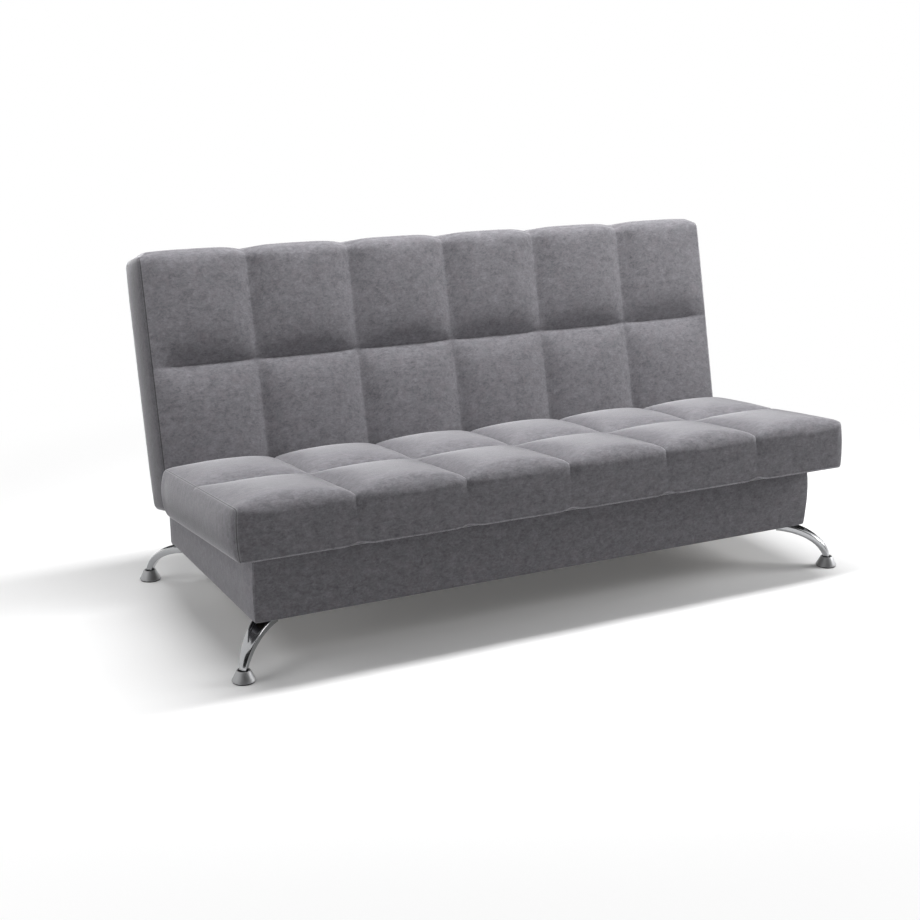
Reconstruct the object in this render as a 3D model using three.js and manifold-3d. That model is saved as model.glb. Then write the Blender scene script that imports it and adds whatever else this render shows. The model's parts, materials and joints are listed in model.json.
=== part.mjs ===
// Click clack sofa bed: a tufted seat and back that fold flat over a storage box on chromed legs.
// Millimetres, +X to the right as seen from the front, +Y to the rear, +Z up.
import * as THREE from "three";
import { mergeVertices } from "three/addons/utils/BufferGeometryUtils.js";
import Module from "manifold-3d";

const wasm = await Module();
wasm.setup();

// Seat and back cushions
const seatWidth = 1900;
const seatDepth = 617;
const seatThickness = 146;
const backLength = 728;
const backThickness = 150;
const backTail = 131; // length of the back below the line where the two surfaces meet
const creaseHeight = 409; // height of that line above the floor
const creaseSetback = 558; // from the box's front face back to that line
const seatRearGap = 15; // from that line forward to the seat's rear face
const seatSlope = 4.75; // degrees, down towards the rear
const backLean = 13.07; // degrees from upright
const tuftColumns = 6;
const seatSeamAhead = 305; // seam between the seat's two rows, in front of the crease
const backSeamHeight = 278; // and up the back from it
const seatCrown = 20;
const seatValley = 3;
const backCrown = 9;
const backValley = 17;
const valleyRun = 70; // distance over which a channel runs out at the outer seam
const sideBulge = 14; // how far the cushions' flanks swell out
const cornerDraw = 8; // by which their upright corners are drawn in
const seatFrontBulge = 9;
const seatRearBulge = 3;
const backTopBulge = 6;
const seatEdgeRound = 12;
const backTailRound = 70;
const backRearRound = 40;
const backTopRound = 26;

// Storage box
const seatOverhang = 57; // seat beyond the box at each end
const boxWidth = seatWidth - 2 * seatOverhang;
const boxDepth = 736;
const boxBottom = 124;
const boardThickness = 18;
const boxCornerRound = 12;
const boxHeelRound = 18;
const rimGap = 4; // seat's underside above the box's rim
const floorThickness = 6;
const blockSide = 70;
const blockHeight = 36;

// Legs
const footOut = 52; // foot centre outside the box corner, along each edge
const wingReach = 82; // inner end of a leg, inside the box corner along the diagonal
const legSpan = 162; // level half axis of the arch
const legTopAngle = 8; // degrees round the arch at which it leaves the box
const legThickness = 12;
const legAnkleWidth = 19;
const legWingWidth = 62;
const legFlare = 1.25; // how soon a leg narrows below the box, as a power
const legBevel = 2.5;
const legCrown = 1.5;
const recessRim = 4;
const recessDepth = 4;
const recessStep = 5;
const recessFloorDepth = 7;
const recessApexAngle = 50; // degrees round the arch
const recessRunIn = 3; // degrees from the flat top to the recess
const recessTip = 0.3;
const padHeight = 3;
const padRadius = 29;
const padChamfer = 1;
const coneHeight = 28;
const coneRadius = 31;
const coneTopRadius = 17.5;
const coneLip = 2;
const socketRadius = 14;
const socketDepth = 7;

// Frames and slats inside the cushions
const railWidth = 30;
const railHeight = 32;
const crossRailThickness = 12;
const slatWidth = 62;
const slatThickness = 8;
const slatRound = 2;
const slatsPerFrame = 7;
const seatWall = 36; // cushion stuffing left round the seat's pocket
const backFrameStart = 30;
const backFrameEnd = 552;
const pocketRoom = 4;
const coverThickness = 5;

// Folding gear
const plateThickness = 5;
const layerGap = 4;
const bracketThickness = 3;
const pivotDepth = 80; // fold axis behind both cushion surfaces
const linkLength = 115;
const linkStart = 19; // degrees above the level, at rest
const linkRadius = 12;
const barRadius = 14;
const pinRadius = 6;
const pinHeadRadius = 9;
const pinHeadThickness = 3;
const linkDrop = 18; // seat pins below the seat's underside
const frontPin = -290; // seat pins, measured along the seat from the crease
const rearPin = -60;
const bedClearance = 10; // flat bed above the front rim
const bracketHalfWidth = 15;
const bracketNose = 22;
const bracketRound = 8;
const leafWidth = 30;
const hubRadius = 26;
const toothHeight = 6;
const toothWidth = 9;
const toothRamp = 5;
const sectorRunOn = 18; // degrees of toothed sector beyond its outer notches
const toothRelief = 0.5; // pawl clear of the tooth tips
const reclineStop = 40; // degrees, the half reclined notch
const pawlHeading = 45 - backLean + seatSlope; // degrees above the seat's plane
const hubPinRadius = 8;
const backStripHalfWidth = 9;
const backStripLength = 160;
const pawlReach = 62;
const pawlRadius = 8;
const pawlNose = 3;
const liftPivotSetback = 36; // lift pivot in front of the box's rear face
const liftPivotHeight = 90; // and above its underside
const liftPlateWidth = 64;
const liftPlateHeight = 62;
const liftPlateDrop = 40; // lift pivot above the plate's lower edge
const crossTubeRadius = 11;
const crossTubeAhead = 60; // of the lift pivot
const tubeWall = 1.5;
const noseSetback = 44; // front end of a lift bar behind the front board
const bufferRadius = 9;
const bufferHeight = 12;
const bufferRound = 2;
const slotOver = 6; // room round the gear inside the back
const tailSkin = 20; // stuffing kept in front of the gear

// Return spring of the pawl
const springRadius = 3.2;
const springWire = 1.1;
const springCoils = 8;
const springPitch = 3;
const springStudRadius = 3.5;

// Fits
const touch = 0.3; // between pieces that rest on each other
const runFit = 0.4; // round a turning pin
const overrun = 20; // by which a cutter passes the face that it opens
const weld = 0.001; // points closer than this are one

const radians = THREE.MathUtils.degToRad;
const openAngle = 90 + backLean - seatSlope; // between the seat's and the back's surface
const foldSweep = 180 - openAngle; // by which the back falls to lie flat

function solidOf(geometry) {
  const bare = geometry.index ? geometry.toNonIndexed() : geometry.clone();
  bare.deleteAttribute("normal");
  bare.deleteAttribute("uv");
  const merged = mergeVertices(bare, weld);
  return new wasm.Manifold(
    new wasm.Mesh({
      numProp: 3,
      vertProperties: new Float32Array(merged.attributes.position.array),
      triVerts: new Uint32Array(merged.index.array),
    }),
  );
}

function geometryOf(solid) {
  const mesh = solid.getMesh();
  const geometry = new THREE.BufferGeometry();
  geometry.setAttribute("position", new THREE.BufferAttribute(mesh.vertProperties, mesh.numProp));
  geometry.setIndex(new THREE.BufferAttribute(mesh.triVerts, 1));
  const faceted = geometry.toNonIndexed();
  faceted.computeVertexNormals();
  return faceted;
}

const joined = (...parts) => geometryOf(parts.map(solidOf).reduce((a, b) => a.add(b)));
const cut = (base, ...tools) =>
  geometryOf(tools.map(solidOf).reduce((a, b) => a.subtract(b), solidOf(base)));
const common = (a, b) => geometryOf(solidOf(a).intersect(solidOf(b)));

// A box between two corners.
function block([x0, y0, z0], [x1, y1, z1]) {
  const box = new THREE.BoxGeometry(x1 - x0, y1 - y0, z1 - z0);
  return box.translate((x0 + x1) / 2, (y0 + y1) / 2, (z0 + z1) / 2);
}

// An outline in the plane of Y and Z, made as thick as from x0 to x1.
function sideways(shape, x0, x1, curveSegments = 7) {
  const depth = x1 - x0;
  const flat = new THREE.ExtrudeGeometry(shape, { depth, bevelEnabled: false, curveSegments });
  const turn = new THREE.Matrix4().makeBasis(
    new THREE.Vector3(0, 1, 0),
    new THREE.Vector3(0, 0, 1),
    new THREE.Vector3(1, 0, 0),
  );
  return flat.applyMatrix4(turn).translate(x0, 0, 0);
}

// An outline in the plane of X and Y, made as high as from z0 to z1.
function upright(shape, z0, z1, curveSegments = 6) {
  const depth = z1 - z0;
  const flat = new THREE.ExtrudeGeometry(shape, { depth, bevelEnabled: false, curveSegments });
  return flat.translate(0, 0, z0);
}

// A polygon whose corners are rounded by their own radii; the points run anticlockwise.
function roundedShape(corners) {
  const shape = new THREE.Shape();
  corners.forEach(([x, y, radius = 0], i) => {
    const here = new THREE.Vector2(x, y);
    if (!radius) {
      if (i) shape.lineTo(x, y);
      else shape.moveTo(x, y);
      return;
    }
    const before = corners[(i + corners.length - 1) % corners.length];
    const after = corners[(i + 1) % corners.length];
    const back = new THREE.Vector2(before[0], before[1]).sub(here).normalize();
    const on = new THREE.Vector2(after[0], after[1]).sub(here).normalize();
    const half = Math.acos(THREE.MathUtils.clamp(back.dot(on), -1, 1)) / 2;
    const reach = radius / Math.tan(half);
    const start = here.clone().addScaledVector(back, reach);
    const end = here.clone().addScaledVector(on, reach);
    if (i) shape.lineTo(start.x, start.y);
    else shape.moveTo(start.x, start.y);
    const middle = here.clone().addScaledVector(back.clone().add(on).normalize(), radius / Math.sin(half));
    const from = Math.atan2(start.y - middle.y, start.x - middle.x);
    const to = Math.atan2(end.y - middle.y, end.x - middle.x);
    const turn = THREE.MathUtils.euclideanModulo(to - from, 2 * Math.PI);
    shape.absarc(middle.x, middle.y, radius, from, to, turn > Math.PI);
  });
  shape.closePath();
  return shape;
}

function capsuleShape([y0, z0], [y1, z1], radius) {
  const angle = Math.atan2(z1 - z0, y1 - y0);
  const shape = new THREE.Shape();
  shape.absarc(y1, z1, radius, angle - Math.PI / 2, angle + Math.PI / 2, false);
  shape.absarc(y0, z0, radius, angle + Math.PI / 2, angle + (3 * Math.PI) / 2, false);
  shape.closePath();
  return shape;
}

// A flat bar of constant width along a run of points in the plane of Y and Z.
function flatBar(points, radius, x0, x1) {
  const pieces = points.slice(1).map((p, i) => sideways(capsuleShape(points[i], p, radius), x0, x1));
  return joined(...pieces);
}

function disc([y, z], radius, x0, x1, segments = 16) {
  const round = new THREE.CylinderGeometry(radius, radius, x1 - x0, segments);
  return round.rotateZ(Math.PI / 2).translate((x0 + x1) / 2, y, z);
}

// A closed skin through rings of equally many points, with flat ends.
function ringSkin(rings) {
  const count = rings[0].length;
  const positions = rings.flat().flatMap((p) => [p.x, p.y, p.z]);
  const index = [];
  for (let r = 0; r + 1 < rings.length; r++) {
    for (let i = 0; i < count; i++) {
      const a = r * count + i;
      const b = r * count + ((i + 1) % count);
      index.push(a, b, b + count, a, b + count, a + count);
    }
  }
  const last = (rings.length - 1) * count;
  for (let i = 1; i + 1 < count; i++) {
    index.push(0, i + 1, i);
    index.push(last, last + i, last + i + 1);
  }
  const skin = new THREE.BufferGeometry();
  skin.setAttribute("position", new THREE.Float32BufferAttribute(positions, 3));
  skin.setIndex(index);
  return skin;
}

const mirrored = (geometry) => {
  const copy = geometry.clone().scale(-1, 1, 1);
  const source = copy.index ? copy.toNonIndexed() : copy;
  const p = source.attributes.position;
  for (let i = 0; i < p.count; i += 3) {
    const [x, y, z] = [p.getX(i + 1), p.getY(i + 1), p.getZ(i + 1)];
    p.setXYZ(i + 1, p.getX(i + 2), p.getY(i + 2), p.getZ(i + 2));
    p.setXYZ(i + 2, x, y, z);
  }
  source.computeVertexNormals();
  return source;
};

const fabric = { color: 0x77777a, roughness: 0.95, metalness: 0 };
const lining = { color: 0x2a2a2c, roughness: 0.95, metalness: 0 };
const chrome = { color: 0xd8dadc, roughness: 0.1, metalness: 1 };
const steel = { color: 0x3c3e41, roughness: 0.5, metalness: 0.8 };
const zinc = { color: 0xa9adb0, roughness: 0.35, metalness: 0.9 };
const beech = { color: 0xd2b48a, roughness: 0.6, metalness: 0 };
const board = { color: 0xb59a72, roughness: 0.8, metalness: 0 };
const rubber = { color: 0x161617, roughness: 0.85, metalness: 0 };

function addMesh(group, name, geometry, finish) {
  const mesh = new THREE.Mesh(geometry, new THREE.MeshStandardMaterial(finish));
  mesh.name = name;
  group.add(mesh);
  return mesh;
}

// The same piece on the right, and its mirror image on the left.
function addPair(group, name, geometry, finish) {
  addMesh(group, name + "_right", geometry, finish);
  addMesh(group, name + "_left", mirrored(geometry), finish);
}

// One pillow of a tufted panel: 0 at its seams, 1 at its middle.
function pillow(share) {
  return Math.sqrt(Math.max(0, 1 - Math.abs(2 * share - 1) ** 2.6));
}

// A stuffed cushion over the plane z = 0: tufted on top, drawn in at its seams, flat below.
// Its near and far ends (along y) swell out, and are rounded above (rounds) and below (heels).
function cushion(sizes) {
  const { y0, y1, seam, thickness, crown, valley } = sizes;
  const { nearBulge, farBulge, nearRound, farRound, nearHeel, farHeel } = sizes;
  const cellSteps = 6;
  const half = seatWidth / 2;
  const near = y0 + nearRound;
  const far = y1 - farRound;
  const seams = [near, seam, far];
  const across = tuftColumns * cellSteps;
  const along = (seams.length - 1) * cellSteps;
  const alongAt = (j) => {
    const row = Math.min(Math.floor(j / cellSteps), seams.length - 2);
    return THREE.MathUtils.lerp(seams[row], seams[row + 1], j / cellSteps - row);
  };
  const levelShares = [0.09, 0.22, 0.4, 0.6, 0.8, 1];
  const runOut = (distance) => THREE.MathUtils.smoothstep(distance, 0, valleyRun);
  const topHeight = (i, j) => {
    const x = -half + (seatWidth * i) / across;
    const y = alongAt(j);
    const inner = runOut(half - Math.abs(x)) * runOut(Math.min(y - near, far - y));
    const puff = pillow((i % cellSteps) / cellSteps) * pillow((j % cellSteps) / cellSteps);
    return (crown + valley * inner) * puff - valley * inner;
  };
  const arcInset = (round, depth) =>
    depth < round ? round - Math.sqrt(round ** 2 - (round - depth) ** 2) : 0;
  const inset = (round, heel, depth) => arcInset(round, depth) + arcInset(heel, thickness - depth);
  const positions = [];
  const index = [];
  for (let j = 0; j <= along; j++) {
    for (let i = 0; i <= across; i++) {
      const edge = i === 0 || j === 0 || i === across || j === along;
      const x = -half + (seatWidth * i) / across;
      positions.push(x, alongAt(j), edge ? 0 : topHeight(i, j));
    }
  }
  const at = (i, j) => j * (across + 1) + i;
  for (let j = 0; j < along; j++) {
    for (let i = 0; i < across; i++) {
      index.push(at(i, j), at(i + 1, j), at(i + 1, j + 1), at(i, j), at(i + 1, j + 1), at(i, j + 1));
    }
  }
  const rim = [];
  for (let i = 0; i < across; i++) rim.push([i, 0]);
  for (let j = 0; j < along; j++) rim.push([across, j]);
  for (let i = across; i > 0; i--) rim.push([i, along]);
  for (let j = along; j > 0; j--) rim.push([0, j]);
  let above = rim.map(([i, j]) => at(i, j));
  for (const level of levelShares) {
    const depth = thickness * level;
    const swell = Math.sin(Math.PI * level);
    const nearY = y0 + inset(nearRound, nearHeel, depth) - nearBulge * swell;
    const farY = y1 - inset(farRound, farHeel, depth) + farBulge * swell;
    const below = rim.map(([i, j]) => {
      const corner = (i === 0 || i === across) && (j === 0 || j === along);
      const draw = corner ? cornerDraw * swell : 0;
      const x = ((half + sideBulge * swell - draw) * (2 * i - across)) / across;
      const share = (alongAt(j) - near) / (far - near);
      const y = nearY + (farY - nearY) * share + (j ? -draw : draw);
      positions.push(x, y, -depth);
      return positions.length / 3 - 1;
    });
    above.forEach((a, k) => {
      const b = above[(k + 1) % above.length];
      const d = below[(k + 1) % below.length];
      index.push(a, d, b, a, below[k], d);
    });
    above = below;
  }
  positions.push(0, (y0 + y1) / 2, -thickness);
  const middle = positions.length / 3 - 1;
  above.forEach((a, k) => index.push(a, middle, above[(k + 1) % above.length]));
  const skin = new THREE.BufferGeometry();
  skin.setAttribute("position", new THREE.Float32BufferAttribute(positions, 3));
  skin.setIndex(index);
  return skin;
}

const around = ([y, z], angle, radius) => [y + radius * Math.cos(angle), z + radius * Math.sin(angle)];
const headingTo = ([y0, z0], [y1, z1]) => Math.atan2(z1 - z0, y1 - y0);

// A point of the seat's own plane (u back along the seat, w out of its surface) in the side view.
const crease = [creaseSetback, creaseHeight];
const fromSeat = ([u, w], origin = crease, slope = radians(seatSlope)) => [
  origin[0] + u * Math.cos(slope) + w * Math.sin(slope),
  origin[1] - u * Math.sin(slope) + w * Math.cos(slope),
];

// The box's rim runs under the seat and parallel to it.
const rimAt = (y) => {
  const [y0, z0] = fromSeat([0, -seatThickness - rimGap]);
  return z0 + (y0 - y) * Math.tan(radians(seatSlope));
};

// The fold axis lies equally deep behind both surfaces, so that they end up level.
const axisSetback = pivotDepth / Math.tan(radians(openAngle) / 2);
const foldInSeat = [axisSetback, -pivotDepth];
const foldInBack = [pivotDepth, -axisSetback];

// The seat rides on a front and a rear link, which carry it up, forward and level.
const pinLevel = -seatThickness - linkDrop;
const frontPinInSeat = [frontPin, pinLevel];
const rearPinInSeat = [rearPin, pinLevel];
const frontPinAtRest = fromSeat(frontPinInSeat);
const frontPivot = around(frontPinAtRest, radians(linkStart), -linkLength);
const bedPinHeight = rimAt(0) + bedClearance - linkDrop;
const linkEnd = Math.PI - Math.asin((bedPinHeight - frontPivot[1]) / linkLength);
const linkSweep = linkEnd - radians(linkStart);
function rearPinAt(share) {
  const pin = around(frontPivot, radians(linkStart) + linkSweep * share, linkLength);
  const slope = radians(seatSlope) * (1 - share);
  return fromSeat([rearPin - frontPin, 0], pin, slope);
}
function circleThrough([ax, ay], [bx, by], [cx, cy]) {
  const [a, b, c] = [ax * ax + ay * ay, bx * bx + by * by, cx * cx + cy * cy];
  const d = 2 * (ax * (by - cy) + bx * (cy - ay) + cx * (ay - by));
  return [
    (a * (by - cy) + b * (cy - ay) + c * (ay - by)) / d,
    (a * (cx - bx) + b * (ax - cx) + c * (bx - ax)) / d,
  ];
}
const rearPinAtRest = rearPinAt(0);
const rearPivot = circleThrough(rearPinAtRest, rearPinAt(1 / 2), rearPinAt(1));
const liftPivot = [boxDepth - liftPivotSetback, boxBottom + liftPivotHeight];

// Layers of the folding gear, from the side board inwards.
const boardFace = boxWidth / 2 - boardThickness;
const bracketOuter = boardFace - touch;
const bracketInner = bracketOuter - bracketThickness;
const barOuter = bracketInner - layerGap;
const barInner = barOuter - plateThickness;
const linkOuter = barInner - layerGap;
const linkInner = linkOuter - plateThickness;
const seatPlateOuter = linkInner - layerGap;
const seatPlateInner = seatPlateOuter - plateThickness;
const backPlateOuter = seatPlateInner - layerGap;
const backPlateInner = backPlateOuter - plateThickness;
const endFloat = (layerGap - pinHeadThickness) / 2;

// A headed pin at a point, grown out of a plate: its shank runs from x0 to x1 and its head lies beyond x1.
function headedPin(point, radius, x0, x1) {
  const out = Math.sign(x1 - x0);
  const headEnd = x1 + out * pinHeadThickness;
  const shank = disc(point, radius, Math.min(x0, headEnd), Math.max(x0, headEnd));
  const headRadius = radius + pinHeadRadius - pinRadius;
  const head = disc(point, headRadius, Math.min(x1, headEnd), Math.max(x1, headEnd));
  return joined(shank, head);
}

// The storage box's outer form, to which every board is trimmed: rounded upright corners,
// a rounded rear heel and a rim that slopes with the seat.
const boxPlan = roundedShape([
  [-boxWidth / 2, 0, boxCornerRound],
  [boxWidth / 2, 0, boxCornerRound],
  [boxWidth / 2, boxDepth, boxCornerRound],
  [-boxWidth / 2, boxDepth, boxCornerRound],
]);
const boxSide = roundedShape([
  [0, boxBottom],
  [boxDepth, boxBottom, boxHeelRound],
  [boxDepth, rimAt(boxDepth)],
  [0, rimAt(0)],
]);
const boxForm = common(
  upright(boxPlan, boxBottom, rimAt(0)),
  sideways(boxSide, -boxWidth / 2, boxWidth / 2),
);
const floorTop = boxBottom + floorThickness;
const blockTop = floorTop + touch + blockHeight;
const barNose = [boardThickness + noseSetback, blockTop + bufferHeight + 2 * touch + barRadius];

function addStorageBox(group) {
  const half = boxWidth / 2;
  const inside = boardFace - touch;
  const front = boardThickness + touch;
  const rear = boxDepth - boardThickness;
  const trimmed = (from, to) => common(block(from, to), boxForm);
  const frontBoard = trimmed([-half, 0, boxBottom], [half, boardThickness, rimAt(0)]);
  const sideBoard = trimmed([boardFace, front, boxBottom], [half, boxDepth, rimAt(0)]);
  const rearBoard = trimmed([-inside, rear, boxBottom], [inside, boxDepth, rimAt(0)]);
  const bottomBoard = block([-inside, front, boxBottom], [inside, rear - touch, floorTop]);
  addMesh(group, "box_front_panel", frontBoard, fabric);
  addPair(group, "box_side_panel", sideBoard, fabric);
  addMesh(group, "box_rear_panel", rearBoard, fabric);
  addMesh(group, "box_floor", bottomBoard, board);
  const wedge = (y, away) => {
    const plan = [
      [inside - blockSide, y],
      [inside, y],
      [inside, y + away * blockSide],
    ];
    return upright(roundedShape(plan), floorTop + touch, blockTop);
  };
  addPair(group, "corner_block_front", wedge(front, 1), board);
  addPair(group, "corner_block_rear", wedge(rear - touch, -1), board);
  const bufferPoint = [(barInner + barOuter) / 2, barNose[0]];
  const buffer = new THREE.LatheGeometry(
    [
      [0, 0],
      [bufferRadius, 0],
      [bufferRadius, bufferHeight - bufferRound],
      [bufferRadius - bufferRound, bufferHeight],
      [0, bufferHeight],
    ].map(([r, z]) => new THREE.Vector2(r, z)),
    16,
  );
  buffer.rotateX(Math.PI / 2).translate(bufferPoint[0], bufferPoint[1], blockTop + touch);
  addPair(group, "bar_buffer", buffer, rubber);
}

// One leg, in a frame with +X outwards along the diagonal from the box's corner.
const footReach = footOut * Math.SQRT2;
const padTop = padHeight;
const coneBottom = padTop + touch;
const coneTop = coneBottom + coneHeight;
const legTop = boxBottom - touch;
const legFoot = coneTop - socketDepth + touch;
const legRise = (legTop - legFoot) / Math.cos(radians(legTopAngle));
const legMiddle = footReach + legThickness / 2 - legSpan;
const legInnerAngle = Math.asin((-wingReach - legMiddle) / legSpan);

function legFrameAt(angle) {
  const reach = legMiddle + legSpan * Math.sin(angle);
  const outer = new THREE.Vector3(reach, 0, legFoot + legRise * Math.cos(angle));
  const normal = new THREE.Vector3(Math.sin(angle) / legSpan, 0, Math.cos(angle) / legRise).normalize();
  return { outer, normal };
}
const legWidthAt = (angle) => {
  const flare = Math.max(0, 1 - Math.sin(angle));
  return legAnkleWidth + (legWingWidth - legAnkleWidth) * flare ** legFlare;
};

// Sections along the arch; each is a list of [sideways, depth below the outer face].
function arch(from, to, steps, sectionAt) {
  const rings = [];
  for (let i = 0; i <= steps; i++) {
    const angle = from + ((to - from) * i) / steps;
    const { outer, normal } = legFrameAt(angle);
    rings.push(
      sectionAt(angle).map(([side, depth]) => {
        const p = outer.clone().addScaledVector(normal, -depth);
        p.y = side;
        return p;
      }),
    );
  }
  return ringSkin(rings);
}

function legBody() {
  const body = arch(legInnerAngle, Math.PI / 2, 14, (angle) => {
    const half = legWidthAt(angle) / 2;
    return [
      [0, -legCrown],
      [-half + legBevel, 0],
      [-half, legBevel],
      [-half, legThickness - legBevel],
      [-half + legBevel, legThickness],
      [half - legBevel, legThickness],
      [half, legThickness - legBevel],
      [half, legBevel],
      [half - legBevel, 0],
    ];
  });
  const apex = radians(recessApexAngle);
  const mouth = Math.asin(-legMiddle / legSpan);
  const mouthHalf = legWidthAt(mouth) / 2 - recessRim;
  const recess = (step, depth) =>
    arch(radians(legTopAngle + recessRunIn), apex, 10, (angle) => {
      const vee = (mouthHalf * (apex - angle)) / (apex - mouth);
      const half = Math.max(Math.min(legWidthAt(angle) / 2 - recessRim, vee) - step, recessTip);
      return [
        [half, -overrun],
        [-half, -overrun],
        [-half, depth],
        [half, depth],
      ];
    });
  const above = block([-legSpan, -legWingWidth, legTop], [legSpan, legWingWidth, legTop + legSpan]);
  return cut(body, recess(0, recessDepth), recess(recessStep, recessFloorDepth), above);
}

const turned = (points, segments) =>
  new THREE.LatheGeometry(points.map(([r, z]) => new THREE.Vector2(r, z)), segments).rotateX(Math.PI / 2);

function addLegs(group) {
  const leg = legBody();
  const cone = turned(
    [
      [0, coneBottom],
      [coneRadius - coneLip / 2, coneBottom],
      [coneRadius, coneBottom + coneLip / 2],
      [coneRadius, coneBottom + coneLip],
      [coneTopRadius + coneLip / 2, coneTop - coneLip],
      [coneTopRadius - coneLip / 2, coneTop],
      [socketRadius, coneTop],
      [socketRadius, coneTop - socketDepth],
      [0, coneTop - socketDepth],
    ],
    24,
  );
  const pad = turned(
    [
      [0, 0],
      [padRadius - padChamfer, 0],
      [padRadius, padChamfer],
      [padRadius, padHeight],
      [0, padHeight],
    ],
    24,
  );
  const places = [
    ["front_right", 1, 0, -1],
    ["rear_right", 1, boxDepth, 1],
    ["rear_left", -1, boxDepth, 3],
    ["front_left", -1, 0, 5],
  ];
  for (const [name, side, y, eighths] of places) {
    const corner = new THREE.Group();
    corner.position.set((side * boxWidth) / 2, y, 0);
    corner.rotation.z = (eighths * Math.PI) / 4;
    group.add(corner);
    addMesh(corner, "leg_" + name, leg, chrome);
    const foot = new THREE.Group();
    foot.position.x = footReach;
    corner.add(foot);
    addMesh(foot, "foot_cone_" + name, cone, chrome);
    addMesh(foot, "foot_pad_" + name, pad, rubber);
  }
}

const middleOf = (a, b) => (a + b) / 2;
const hole = (point, radius, x0, x1) => disc(point, radius + runFit, x0 - overrun, x1 + overrun);

function addLiftGear(boxGroup, carrierGroup) {
  const [y, z] = liftPivot;
  const rear = boxDepth - boardThickness - touch;
  const plate = roundedShape([
    [rear - liftPlateWidth, z - liftPlateDrop, bracketRound],
    [rear, z - liftPlateDrop, bracketRound],
    [rear, z - liftPlateDrop + liftPlateHeight, bracketRound],
    [rear - liftPlateWidth, z - liftPlateDrop + liftPlateHeight, bracketRound],
  ]);
  const bracket = joined(
    sideways(plate, bracketInner, bracketOuter),
    headedPin([y, z], pinRadius, middleOf(bracketInner, bracketOuter), barInner - endFloat),
  );
  addPair(boxGroup, "lift_bracket", bracket, steel);

  const bar = flatBar([barNose, frontPivot, rearPivot, liftPivot], barRadius, barInner, barOuter);
  const drilled = cut(bar, hole(liftPivot, pinRadius, barInner, barOuter));
  const barMiddle = middleOf(barInner, barOuter);
  const pins = [frontPivot, rearPivot].map((p) => headedPin(p, pinRadius, barMiddle, linkInner - endFloat));
  addPair(carrierGroup, "lift_bar", joined(drilled, ...pins), steel);

  // The cross tube lies on the bars' line between the rear and the lift pivots.
  const tubeY = liftPivot[0] - crossTubeAhead;
  const share = (tubeY - rearPivot[0]) / (liftPivot[0] - rearPivot[0]);
  const tubeZ = THREE.MathUtils.lerp(rearPivot[1], liftPivot[1], share);
  const ring = new THREE.Shape();
  ring.absarc(tubeY, tubeZ, crossTubeRadius, 0, 2 * Math.PI);
  ring.holes.push(new THREE.Path().absarc(tubeY, tubeZ, crossTubeRadius - tubeWall, 0, 2 * Math.PI, true));
  addMesh(carrierGroup, "cross_tube", sideways(ring, touch - barInner, barInner - touch, 12), steel);
}

function addLinks(frontGroup, rearGroup) {
  const front = cut(
    sideways(capsuleShape(frontPivot, frontPinAtRest, linkRadius), linkInner, linkOuter),
    hole(frontPivot, pinRadius, linkInner, linkOuter),
    hole(frontPinAtRest, pinRadius, linkInner, linkOuter),
  );
  addPair(frontGroup, "front_link", front, steel);
  const rear = cut(
    sideways(capsuleShape(rearPivot, rearPinAtRest, linkRadius), linkInner, linkOuter),
    hole(rearPivot, pinRadius, linkInner, linkOuter),
  );
  const linkMiddle = middleOf(linkInner, linkOuter);
  const stud = disc(rearPinAtRest, pinRadius, seatPlateOuter + touch, linkMiddle);
  const head = disc(rearPinAtRest, pinHeadRadius, linkMiddle, linkOuter + pinHeadThickness);
  addPair(rearGroup, "rear_link", joined(rear, stud, head), steel);
}

// Slats laid across a frame, side by side between its long rails.
function addSlats(group, name, railInside, y0, y1, z0) {
  const shape = roundedShape([
    [-slatWidth / 2, z0, slatRound],
    [slatWidth / 2, z0, slatRound],
    [slatWidth / 2, z0 + slatThickness, slatRound],
    [-slatWidth / 2, z0 + slatThickness, slatRound],
  ]);
  for (let i = 0; i < slatsPerFrame; i++) {
    const x = railInside * ((2 * i + 1) / slatsPerFrame - 1);
    const slat = sideways(shape, y0, y1, 2).rotateZ(Math.PI / 2).translate(x, 0, 0);
    addMesh(group, name + "_" + (i + 1), slat, beech);
  }
}

// A welded frame lying in its own plane, open in the middle, with thinner rails across its ends.
function frameOf(outside, y0, y1, z0, z1) {
  const long = block([outside - railWidth, y0, z0], [outside, y1, z1]);
  const short = block([-outside, y0, z1 - crossRailThickness], [outside, y0 + railWidth, z1]);
  const farShort = block([-outside, y1 - railWidth, z1 - crossRailThickness], [outside, y1, z1]);
  return joined(long, mirrored(long), short, farShort);
}

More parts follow.
